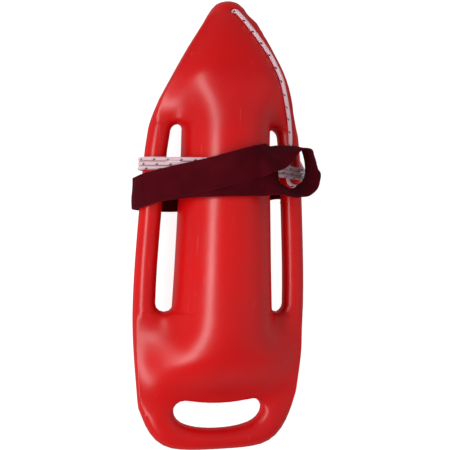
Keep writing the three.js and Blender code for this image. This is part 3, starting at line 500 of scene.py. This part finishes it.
def harness_stations():
    """Closed ring of places and width directions of the webbing."""
    centre, out, back = (np.array(v, float) for v in (FOLD_CENTRE, FOLD_OUT, FOLD_BACK))
    turns = np.linspace(0, np.pi, FOLD_STEPS + 1)[1:-1]
    fold = centre + FOLD_RADIUS * (np.outer(np.cos(turns), out) - np.outer(np.sin(turns), back))
    inner = layer_line(INNER_OFFSET, centre - out * FOLD_RADIUS, INNER_SHARES)
    outer = layer_line(OUTER_OFFSET, centre + out * FOLD_RADIUS, OUTER_SHARES)
    places = [(x * HALF_WIDTH, STRAP_Y + y * STRAP_WIDTH, EDGE_RADIUS + z * STRAP_WIDTH)
              for x, y, z in zip(EYE_X, EYE_Y, EYE_RISE)]
    eye = centripetal([outer[-1]] + places + [inner[-1]], EYE_SPAN_STEPS)[1:-1]
    widths = centripetal([(0, 1, 0)] + EYE_WIDTHS + [(0, 1, 0)], EYE_SPAN_STEPS)[1:-1]

    def upright(line):
        return np.tile((0.0, 1.0, 0.0), (len(line), 1))

    place = np.concatenate([fold, inner, eye[::-1], outer[::-1]])
    width = np.concatenate([upright(fold), upright(inner), widths[::-1], upright(outer)])
    return place, width


def ripple(points):
    """Small unevenness of the webbing, the same for both layers where they lie on each other."""
    x, y, z = points[..., 0], points[..., 1], points[..., 2]
    return (
        0.45 * np.sin(x / 17.0 + y / 23.0 + 0.8) * np.sin(y / 15.0 - x / 41.0 + 0.5)
        + 0.3 * np.sin(z / 9.0 + y / 11.0 + 1.7) + 0.2 * np.sin(x / 7.3 - y / 6.1 + z / 8.7))


def webbing_mesh(name, place, width):
    """Webbing of real thickness with rounded edges along a closed ring of stations."""
    rows = len(place)
    along = np.roll(place, -1, axis=0) - np.roll(place, 1, axis=0)
    along /= np.linalg.norm(along, axis=1)[:, None]
    width = width - along * (width * along).sum(axis=1)[:, None]
    width /= np.linalg.norm(width, axis=1)[:, None]
    out = np.cross(along, width)
    half, thick = STRAP_WIDTH / 2, STRAP_THICKNESS / 2
    c = np.linspace(-half + EDGE_INSET, half - EDGE_INSET, WEBBING_SIDES)
    edge = np.array([
        (half - EDGE_ROUND, thick * EDGE_SHARE), (half, 0.0), (half - EDGE_ROUND, -thick * EDGE_SHARE)])
    swell = thick * (1 - 0.1 * (np.abs(c) / half) ** 8)
    loop = np.concatenate([
        np.column_stack([c, swell]), edge, np.column_stack([c[::-1], -swell[::-1]]), edge[::-1] * (-1, 1)])
    centre_line = place[:, None, :] + width[:, None, :] * loop[None, :, 0, None]
    lift = loop[None, :, 1, None] + ripple(centre_line)[:, :, None]
    points = centre_line + out[:, None, :] * lift
    count = len(loop)
    k = np.arange(count)
    after = (k + 1) % count
    i = np.arange(rows)[:, None]
    j = (i + 1) % rows
    quads = np.stack([i * count + k, j * count + k, j * count + after, i * count + after], axis=-1)
    at = np.concatenate([lengths_along(place), [0]])
    at[-1] = at[-2] + np.linalg.norm(place[0] - place[-1])
    a0, a1 = at[:-1][:, None], at[1:][:, None]
    side = np.concatenate([loop[:, 0], loop[:1, 0]])
    c0, c1 = side[:-1][None, :], side[1:][None, :]
    ones = np.ones((rows, count))
    uv = np.stack([
        np.stack([c0 * ones, a0 * ones], -1), np.stack([c0 * ones, a1 * ones], -1),
        np.stack([c1 * ones, a1 * ones], -1), np.stack([c1 * ones, a0 * ones], -1)], axis=2)
    faces = [tuple(q) for q in quads.reshape(-1, 4)]
    return mesh_object(name, placed(points.reshape(-1, 3)), faces, uv.reshape(-1, 2) * UV_PER_MM)


ring_place, ring_width = harness_stations()
ring_place = smoothed(ring_place, PLACE_SMOOTHING, closed=True)
ring_width = smoothed(ring_width, WIDTH_SMOOTHING, closed=True)
harness = webbing_mesh("harness_webbing", ring_place, ring_width)
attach(harness, "harness")
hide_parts("harness_strap")

# Hull skin

BOW_Y = [150, 160, 180, 200, 220, 240, 260, 280, 300, 320, 340, 360]
BOW_CREST = [79, 79, 78, 76, 73, 70, 65, 59, 51, 42, 33, 20]
BOW_HALF_WIDTH = [128, 126.5, 119.5, 111.5, 101.5, 91.5, 81.5, 70.5, 59.5, 47.5, 36.5, 22.5]
STERN_Y = [-300, -280, -260, -240, -220, -200, -180, -160, -140]
STERN_CREST = [4, 17, 39, 60, 75, 84, 89, 91, 91]
STERN_HALF_WIDTH = [123, 127, 129, 131, 133, 135, 136, 137, 138]
BOW_FROM, BOW_RAMP, BOW_TO, BOW_FADE = 160, 72, 352, 25
STERN_FROM, STERN_RAMP, STERN_TO, STERN_FADE = -148, 70, -298, 30
BOW_SWELL = 0.1
BOW_POWER, BOW_POWER_MORE, BOW_POWER_FROM, BOW_POWER_RAMP = 2.25, 0.35, 200, 60
STERN_EDGE, STERN_POWER = 15, 2.1
RIM_HEIGHT = 8
# The skin is split finer and evened out over the crown and, at bow and stern, over the full width
CROWN, FINE_TO, FINE_BOW, FINE_STERN, FINE_END = 68, 355, 155, -140, -300
WELD_DISTANCE, LONGEST_EDGE, SPLITS = 2e-6, 0.006, 5
WALL_FOOT, SAME_FACE, LEVEL_NORMAL = 0.014, 0.0008, -0.05
SKIN_GRID, SKIN_BLUR, BLUR_REACH = 3, 10, 12
GRID_X, GRID_Y, RAY_HEIGHT = 160, 380, 1000
EVEN_BOW, EVEN_STERN, EVEN_RAMP = 156, -140, 20
EVEN_CROWN, EVEN_CROWN_RAMP = 66, 16
EVEN_END, EVEN_END_RAMP = -310, 20
EVEN_HEIGHT, EVEN_HEIGHT_RAMP = 6, 14
EVEN_FACING, EVEN_FACING_RAMP = 0.2, 0.3
DOWN = Vector((0, 0, -1))


def eased(value):
    """Smooth step from 0 to 1."""
    value = np.clip(value, 0, 1)
    return value * value * (3 - 2 * value)


def bow_share(y):
    return eased((y - BOW_FROM) / BOW_RAMP) * eased((BOW_TO - y) / BOW_FADE)


def stern_share(y):
    return eased((STERN_FROM - y) / STERN_RAMP) * eased((y - STERN_TO) / STERN_FADE)


def fuller(x, y, z):
    """Height of the hull's front at (x, y), where the solid's own is z: bow and stern are full domes."""
    crest = np.interp(y, BOW_Y, BOW_CREST) * (1 + BOW_SWELL * bow_share(y))
    side = np.abs(x) / np.interp(y, BOW_Y, BOW_HALF_WIDTH)
    power = BOW_POWER + BOW_POWER_MORE * eased((y - BOW_POWER_FROM) / BOW_POWER_RAMP)
    dome = crest * np.maximum(1 - side ** power, 0) ** (1 / power)
    lift = bow_share(y) * (dome - z)
    crest = np.interp(y, STERN_Y, STERN_CREST)
    side = np.minimum(np.abs(x) / np.interp(y, STERN_Y, STERN_HALF_WIDTH), 1)
    dome = STERN_EDGE + np.maximum(crest - STERN_EDGE, 0) * (1 - side ** STERN_POWER)
    lift += stern_share(y) * (dome - z)
    return z + lift * eased(z / RIM_HEIGHT)


class HeightGrid:
    """Evened heights of the hull's front over a grid of x and y, in millimetres of the hull's frame."""

    def __init__(self, tree):
        self.x = np.arange(-GRID_X, GRID_X + 1, SKIN_GRID)
        self.y = np.arange(-GRID_Y, GRID_Y + 1, SKIN_GRID)
        found = np.full((len(self.x), len(self.y)), np.nan)
        for i, x in enumerate(self.x):
            for j, y in enumerate(self.y):
                hit = tree.ray_cast(Vector(HULL + np.array([x, y, RAY_HEIGHT]) * MM), DOWN)[0]
                if hit is not None and hit.z > HULL[2]:
                    found[i, j] = (hit.z - HULL[2]) / MM
        solid = ~np.isnan(found)
        wanted = np.where(solid, fuller(self.x[:, None], self.y[None, :], np.nan_to_num(found)), 0)
        self.level = self.blurred(wanted) / np.maximum(self.blurred(solid.astype(float)), 1e-9)
        self.slope_x, self.slope_y = np.gradient(self.level, SKIN_GRID)

    def blurred(self, grid):
        bell = np.exp(-(np.arange(-BLUR_REACH, BLUR_REACH + 1) * SKIN_GRID / SKIN_BLUR) ** 2 / 2)
        for axis in (0, 1):
            grid = np.apply_along_axis(np.convolve, axis, grid, bell, "same")
        return grid

    def sampled(self, grid, x, y):
        """Values of one of the grids at places between its points."""
        i, j = (x - self.x[0]) / SKIN_GRID, (y - self.y[0]) / SKIN_GRID
        low_i, low_j = np.floor(i).astype(int), np.floor(j).astype(int)
        i, j = i - low_i, j - low_j
        low_row = grid[low_i, low_j] * (1 - j) + grid[low_i, low_j + 1] * j
        high_row = grid[low_i + 1, low_j] * (1 - j) + grid[low_i + 1, low_j + 1] * j
        return low_row * (1 - i) + high_row * i


def hull_skin():
    """Smooth skin over the moulded shell: its mesh split finer, raised at bow and stern and evened out.

    Comes with each vertex's share of the evened surface and that surface's normal there.
    """
    mesh = bmesh.new()
    mesh.from_mesh(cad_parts["hull_shell"].data)
    bmesh.ops.remove_doubles(mesh, verts=mesh.verts, dist=WELD_DISTANCE)
    tree = BVHTree.FromBMesh(mesh)

    def in_front(point, normal):
        """Whether a point is on the hull's outer face towards the viewer, the foot of a steep wall too."""
        hit = tree.ray_cast(point + Vector((0, 0, 1)), DOWN)[0]
        below = WALL_FOOT if normal.z > LEVEL_NORMAL else SAME_FACE
        return point.z > HULL[2] and (hit is None or hit.z - point.z < below)

    def domed(face):
        middle = face.calc_center_median()
        y = (middle.y - HULL[1]) / MM
        crown = abs(middle.x - HULL[0]) < CROWN * MM and FINE_END < y < FINE_TO
        wide = FINE_BOW < y < FINE_TO or FINE_END < y < FINE_STERN
        return (crown or wide) and in_front(middle, face.normal)

    for _ in range(SPLITS):
        # The keys of a dict keep their order, so every run splits the edges in the same order
        edges = list(dict.fromkeys(
            edge for face in mesh.faces if domed(face) for edge in face.edges
            if edge.calc_length() > LONGEST_EDGE))
        if not edges:
            break
        bmesh.ops.subdivide_edges(mesh, edges=edges, cuts=1, use_grid_fill=True)
        bmesh.ops.triangulate(mesh, faces=[face for face in mesh.faces if len(face.verts) > 3])
    mesh.verts.ensure_lookup_table()
    mesh.normal_update()
    grid = HeightGrid(tree)
    front = np.array([in_front(v.co, v.normal) for v in mesh.verts])
    x, y, z = ((np.array([v.co for v in mesh.verts]) - HULL) / MM).T
    height = np.where(front, fuller(x, y, z), z)
    slopes = [-grid.sampled(slope, x, y) for slope in (grid.slope_x, grid.slope_y)]
    normal = np.stack(slopes + [np.ones(len(x))], axis=1)
    normal /= np.linalg.norm(normal, axis=1)[:, None]
    at_ends = np.maximum(eased((y - EVEN_BOW) / EVEN_RAMP), eased((EVEN_STERN - y) / EVEN_RAMP))
    share = np.maximum(at_ends, eased((EVEN_CROWN - np.abs(x)) / EVEN_CROWN_RAMP))
    share *= eased((BOW_TO - y) / BOW_FADE) * eased((y - EVEN_END) / EVEN_END_RAMP)
    share *= front * eased((height - EVEN_HEIGHT) / EVEN_HEIGHT_RAMP)
    share *= np.clip((normal[:, 2] - EVEN_FACING) / EVEN_FACING_RAMP, 0, 1)
    rises = height + share * (grid.sampled(grid.level, x, y) - height) - z
    for vert, rise in zip(mesh.verts, rises):
        vert.co.z += rise * MM
    data = bpy.data.meshes.new("hull_skin")
    mesh.to_mesh(data)
    mesh.free()
    skin = bpy.data.objects.new("hull_skin", data)
    bpy.context.scene.collection.objects.link(skin)
    return skin, share, normal


hull, even_share, even_normal = hull_skin()
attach(hull, "hull")
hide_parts("hull_shell")

# Materials


class Shader:
    """A material whose node tree is written as short expressions."""

    def __init__(self, name, **principled):
        self.material = bpy.data.materials.new(name)
        self.material.use_nodes = True
        self.nodes, self.links = self.material.node_tree.nodes, self.material.node_tree.links
        self.bsdf = self.nodes["Principled BSDF"]
        for key, value in principled.items():
            self.bsdf.inputs[key.replace("_", " ")].default_value = value

    def join(self, value, socket):
        if isinstance(value, bpy.types.NodeSocket):
            self.links.new(value, socket)
        else:
            socket.default_value = value

    def math(self, operation, a, b=0.0):
        node = self.nodes.new("ShaderNodeMath")
        node.operation = operation
        self.join(a, node.inputs[0])
        self.join(b, node.inputs[1])
        return node.outputs[0]

    def mix(self, share, a, b):
        node = self.nodes.new("ShaderNodeMix")
        node.data_type = "RGBA"
        self.join(share, node.inputs[0])
        self.join(a, node.inputs[6])
        self.join(b, node.inputs[7])
        return node.outputs[2]

    def noise(self, vector, scale, detail=3.0, roughness=0.5):
        node = self.nodes.new("ShaderNodeTexNoise")
        self.join(vector, node.inputs["Vector"])
        node.inputs["Scale"].default_value = scale
        node.inputs["Detail"].default_value = detail
        node.inputs["Roughness"].default_value = roughness
        return node.outputs[0]

    def cells(self, vector, scale):
        node = self.nodes.new("ShaderNodeTexVoronoi")
        self.join(vector, node.inputs["Vector"])
        node.inputs["Scale"].default_value = scale
        return node.outputs["Distance"]

    def between(self, value, low, high, to_low=0.0, to_high=1.0):
        node = self.nodes.new("ShaderNodeMapRange")
        self.join(value, node.inputs[0])
        for socket, number in zip(node.inputs[1:5], (low, high, to_low, to_high)):
            socket.default_value = number
        return node.outputs[0]

    def coordinates(self, kind="Object"):
        return self.nodes.new("ShaderNodeTexCoord").outputs[kind]

    def split(self, vector):
        node = self.nodes.new("ShaderNodeSeparateXYZ")
        self.join(vector, node.inputs[0])
        return node.outputs

    def bump(self, height, distance, strength=1.0, under=None):
        node = self.nodes.new("ShaderNodeBump")
        node.inputs["Strength"].default_value = strength
        node.inputs["Distance"].default_value = distance
        self.join(height, node.inputs["Height"])
        if under is not None:
            self.join(under, node.inputs["Normal"])
        return node.outputs[0]

    def set(self, **sockets):
        for key, value in sockets.items():
            self.join(value, self.bsdf.inputs[key.replace("_", " ")])


def colour(r, g, b):
    """Linear colour from an sRGB one of 0 to 255."""
    parts = [v / 255 for v in (r, g, b)]
    return tuple(v / 12.92 if v <= 0.04045 else ((v + 0.055) / 1.055) ** 2.4 for v in parts) + (1.0,)


def moulded_red():
    m = Shader("moulded_red", Roughness=0.3, Specular_IOR_Level=0.4)
    at = m.coordinates()
    cloud = m.noise(at, 9.0, 2.0)
    fine = m.noise(at, 170.0, 3.0, 0.6)
    base = m.mix(m.between(cloud, 0.3, 0.7), colour(206, 6, 8), colour(192, 4, 9))
    base = m.mix(m.between(fine, 0.62, 0.8, 0, 0.25), base, colour(214, 60, 56))
    stretched = m.nodes.new("ShaderNodeMapping")
    stretched.inputs["Scale"].default_value = (260, 14, 260)
    m.join(at, stretched.inputs["Vector"])
    scratch = m.between(m.noise(stretched.outputs[0], 1.0, 2.0), 0.7, 0.76, 0, 1)
    base = m.mix(m.math("MULTIPLY", scratch, 0.16), base, colour(226, 110, 105))
    rough = m.math("ADD", m.between(cloud, 0.25, 0.75, 0.27, 0.37), m.math("MULTIPLY", scratch, 0.15))
    m.set(Base_Color=base, Roughness=rough)
    peel = m.bump(m.noise(at, 55.0, 2.0), 0.0006, 0.35)
    grain = m.bump(m.noise(at, 900.0, 2.0), 0.00008, 0.4, under=peel)
    rise = m.split(at)[2]
    line = m.math("ABSOLUTE", m.math("SUBTRACT", rise, float(HULL[2])))
    seam = m.between(line, 0.0001, 0.0005, 1.0, 0.0)
    m.set(Normal=m.bump(seam, 0.0003, 0.5, under=grain))
    return m.material


def moulded_plug():
    m = Shader("moulded_plug", Roughness=0.42)
    at = m.coordinates()
    grain = m.noise(at, 500.0, 3.0)
    m.set(
        Base_Color=m.mix(m.between(m.noise(at, 60.0), 0.3, 0.7), colour(150, 16, 20), colour(120, 10, 16)),
        Normal=m.bump(grain, 0.0001, 0.5), Roughness=m.between(grain, 0.3, 0.7, 0.38, 0.5))
    return m.material


def cell_foam():
    m = Shader("cell_foam", Roughness=0.9)
    at = m.coordinates()
    cell = m.cells(at, 420.0)
    m.set(
        Base_Color=m.mix(m.between(cell, 0.2, 0.8), colour(226, 212, 172), colour(240, 230, 200)),
        Normal=m.bump(cell, 0.0006, 0.8))
    return m.material


FLECK_CELLS = 6.0


def braided_rope():
    m = Shader("braided_rope", Roughness=0.75, Sheen_Weight=0.25, Sheen_Roughness=0.5)
    u, v, _ = m.split(m.coordinates("UV"))
    a, b = m.math("ADD", u, v), m.math("SUBTRACT", u, v)
    cell_a, cell_b = m.math("FLOOR", a), m.math("FLOOR", b)
    odd = m.math("FLOORED_MODULO", m.math("ADD", cell_a, cell_b), 2.0)

    def chosen(where_even, where_odd):
        even = m.math("MULTIPLY", where_even, m.math("SUBTRACT", 1.0, odd))
        return m.math("FRACT", m.math("ADD", even, m.math("MULTIPLY", where_odd, odd)))

    across, other = chosen(a, b), chosen(b, a)
    yarn = m.math("ABSOLUTE", m.math("SINE", m.math("MULTIPLY", across, math.pi * 4)))
    edge = m.math("SINE", m.math("MULTIPLY", across, math.pi))
    end = m.math("SINE", m.math("MULTIPLY", other, math.pi))
    tracer = m.math("LESS_THAN", m.math("FLOORED_MODULO", cell_a, FLECK_CELLS), 0.5)
    spaced = m.math("LESS_THAN", m.math("FLOORED_MODULO", cell_b, FLECK_CELLS), 1.5)
    dark = m.math("MULTIPLY", tracer, spaced)
    # Painted shade: the rope's colour turns darker towards the edges of each pick, where the picks meet, and
    # is tinted pink there as painted reflected light from the red hull.
    painted_pick_shade = m.between(m.math("MULTIPLY", edge, end), 0.1, 0.85)
    fuzz = m.noise(m.coordinates(), 700.0, 3.0)
    pale = m.mix(m.between(fuzz, 0.3, 0.7), colour(252, 248, 250), colour(242, 232, 238))
    pale = m.mix(painted_pick_shade, colour(190, 120, 138), pale)
    relief = m.math("ADD", m.math("MULTIPLY", yarn, 0.6), m.math("MULTIPLY", fuzz, 0.5))
    m.set(Base_Color=m.mix(dark, pale, colour(46, 16, 26)), Normal=m.bump(relief, 0.00025, 0.6))
    return m.material


WARP_PITCH, WEFT_PITCH, SELVEDGE = 1.3, 1.7, (2.36, 2.44)


def woven_webbing():
    m = Shader(
        "woven_webbing", Roughness=0.8, Sheen_Weight=0.02, Sheen_Roughness=0.45, Specular_IOR_Level=0.06)
    m.bsdf.inputs["Sheen Tint"].default_value = colour(190, 150, 155)
    across, along, _ = m.split(m.coordinates("UV"))
    warp, weft = m.math("MULTIPLY", across, 10 / WARP_PITCH), m.math("MULTIPLY", along, 10 / WEFT_PITCH)
    row = m.math("FLOORED_MODULO", m.math("FLOOR", weft), 2.0)
    shifted = m.math("ADD", warp, m.math("MULTIPLY", row, 0.5))
    bead = m.math("MULTIPLY",
                  m.math("ABSOLUTE", m.math("SINE", m.math("MULTIPLY", shifted, math.pi))),
                  m.math("ABSOLUTE", m.math("SINE", m.math("MULTIPLY", weft, math.pi))))
    at = m.coordinates()
    fade = m.noise(at, 30.0, 3.0)
    base = m.mix(m.between(fade, 0.3, 0.7), colour(86, 3, 17), colour(72, 2, 13))
    # Painted shade: the webbing is darkened in the gaps between the beads of its weave.
    base = m.mix(m.between(bead, 0.0, 0.6, 0.55, 0.0), base, colour(34, 4, 10))
    selvedge = m.between(m.math("ABSOLUTE", across), *SELVEDGE)
    base = m.mix(m.math("MULTIPLY", selvedge, 0.5), base, colour(84, 18, 30))
    m.set(
        Base_Color=base, Roughness=m.between(fade, 0.3, 0.7, 0.74, 0.86),
        Normal=m.bump(m.math("ADD", bead, m.math("MULTIPLY", m.noise(at, 900.0), 0.3)), 0.0005, 0.7))
    return m.material


def floor_white():
    m = Shader("floor_white", Roughness=0.9, Specular_IOR_Level=0.0)
    at = m.coordinates()
    m.set(Base_Color=m.mix(m.noise(at, 3.0), colour(150, 150, 151), colour(146, 146, 147)))
    m.bsdf.inputs["Emission Color"].default_value = (1, 1, 1, 1)
    m.bsdf.inputs["Emission Strength"].default_value = 0.9
    return m.material


def dress(obj, material):
    obj.data.materials.clear()
    obj.data.materials.append(material)


red = moulded_red()
rope_look, webbing_look = braided_rope(), woven_webbing()
dress(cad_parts["hull_shell"], red)
dress(hull, red)
dress(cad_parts["filling_plug"], moulded_plug())
dress(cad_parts["foam_core"], cell_foam())
for piece in (rope_main, rope_tail, knot_nose, knot_harness):
    dress(piece, rope_look)
dress(harness, webbing_look)


def smooth_look(obj, limit_degrees, even=None, smooth=None):
    """Shading normals averaged over faces that meet at one place and turn less than the limit.

    Where even is above 0, the given smooth normals take that share of them.
    """
    mesh = obj.data
    mesh.shade_smooth()
    corner_vertex = np.empty(len(mesh.loops), np.int64)
    mesh.loops.foreach_get("vertex_index", corner_vertex)
    place = np.empty(len(mesh.vertices) * 3)
    mesh.vertices.foreach_get("co", place)
    place = place.reshape(-1, 3)
    _, same = np.unique(np.round(place * 1e6).astype(np.int64), axis=0, return_inverse=True)
    corners = place[corner_vertex].reshape(-1, 3, 3)
    turned = np.cross(corners[:, 1] - corners[:, 0], corners[:, 2] - corners[:, 0])
    face_normal = turned / np.maximum(np.linalg.norm(turned, axis=1), 1e-20)[:, None]
    sides = corners[:, [1, 2, 0]] - corners
    sides /= np.maximum(np.linalg.norm(sides, axis=2), 1e-20)[:, :, None]
    opening = np.arccos(np.clip(-(sides * sides[:, [2, 0, 1]]).sum(axis=2), -1, 1)).ravel()
    group = same.ravel()[corner_vertex]
    order = np.argsort(group, kind="stable")
    starts = np.flatnonzero(np.diff(np.concatenate([[-1], group[order]])))
    normals = np.zeros((len(group), 3))
    limit = math.cos(math.radians(limit_degrees))
    for first, last in zip(starts, np.concatenate([starts[1:], [len(order)]])):
        members = order[first:last]
        facing = face_normal[members // 3]
        share = np.where(facing @ facing.T > limit, opening[members][None, :], 0)
        normals[members] = share @ facing
    normals /= np.maximum(np.linalg.norm(normals, axis=1), 1e-20)[:, None]
    if even is not None:
        even = even[corner_vertex][:, None]
        normals = normals * (1 - even) + smooth[corner_vertex] * even
        normals /= np.maximum(np.linalg.norm(normals, axis=1), 1e-20)[:, None]
    mesh.normals_split_custom_set(normals.tolist())


HULL_LIMIT, PLUG_LIMIT = 42, 30
smooth_look(hull, HULL_LIMIT, even_share, even_normal)
for node, limit in (("hull_shell", HULL_LIMIT), ("filling_plug", PLUG_LIMIT), ("foam_core", HULL_LIMIT)):
    smooth_look(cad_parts[node], limit)

# Floor and light

FLOOR_SIZE, FLOOR_GAP = 6.0, 0.0005
floor_corners = np.array([(-1, -1, 0), (1, -1, 0), (1, 1, 0), (-1, 1, 0)]) * FLOOR_SIZE
floor = mesh_object("floor", floor_corners, [(0, 1, 2, 3)], smooth=False)
floor.location.z = cad_box[0][2] - FLOOR_GAP
dress(floor, floor_white())


# Name, degrees from upright, lean along the can, distance, width and length, power, tint, seen in reflections
LIGHTS = [
    ("key_left", -44, -0.12, 1.6, (0.34, 2.2), 26, (1, 1, 1), True),
    ("fill_right", 52, 0.0, 2.0, (1.6, 2.6), 12, (1.0, 0.93, 0.95), False),
    ("top_soft", 4, 0.0, 2.4, (1.6, 1.6), 4, (1, 1, 1), False),
]
WORLD_STRENGTH = 0.22


def area_light(name, degrees, lean, distance, size, power, tint, reflected):
    """A soft rectangular light, its long side along the can, that shines at the can's middle."""
    data = bpy.data.lights.new(name, "AREA")
    data.shape, data.size, data.size_y = "RECTANGLE", size[0], size[1]
    data.energy, data.color = power, tint
    light = bpy.data.objects.new(name, data)
    bpy.context.scene.collection.objects.link(light)
    light.visible_glossy = reflected
    angle = math.radians(degrees)
    back = unit((math.sin(angle), lean, math.cos(angle)))
    middle = placed((0, 0, 0))
    across = unit(np.cross((0, 1, 0), back))
    up = np.cross(back, across)
    place = middle + back * distance
    light.matrix_world = Matrix([[across[i], up[i], back[i], place[i]] for i in range(3)] + [[0, 0, 0, 1]])


for light_row in LIGHTS:
    area_light(*light_row)
floor.visible_glossy = False

world = bpy.data.worlds.new("studio")
bpy.context.scene.world = world
world.use_nodes = True
background = world.node_tree.nodes["Background"]
background.inputs["Color"].default_value = (1, 1, 1, 1)
background.inputs["Strength"].default_value = WORLD_STRENGTH
bpy.context.scene.view_settings.view_transform = "Standard"
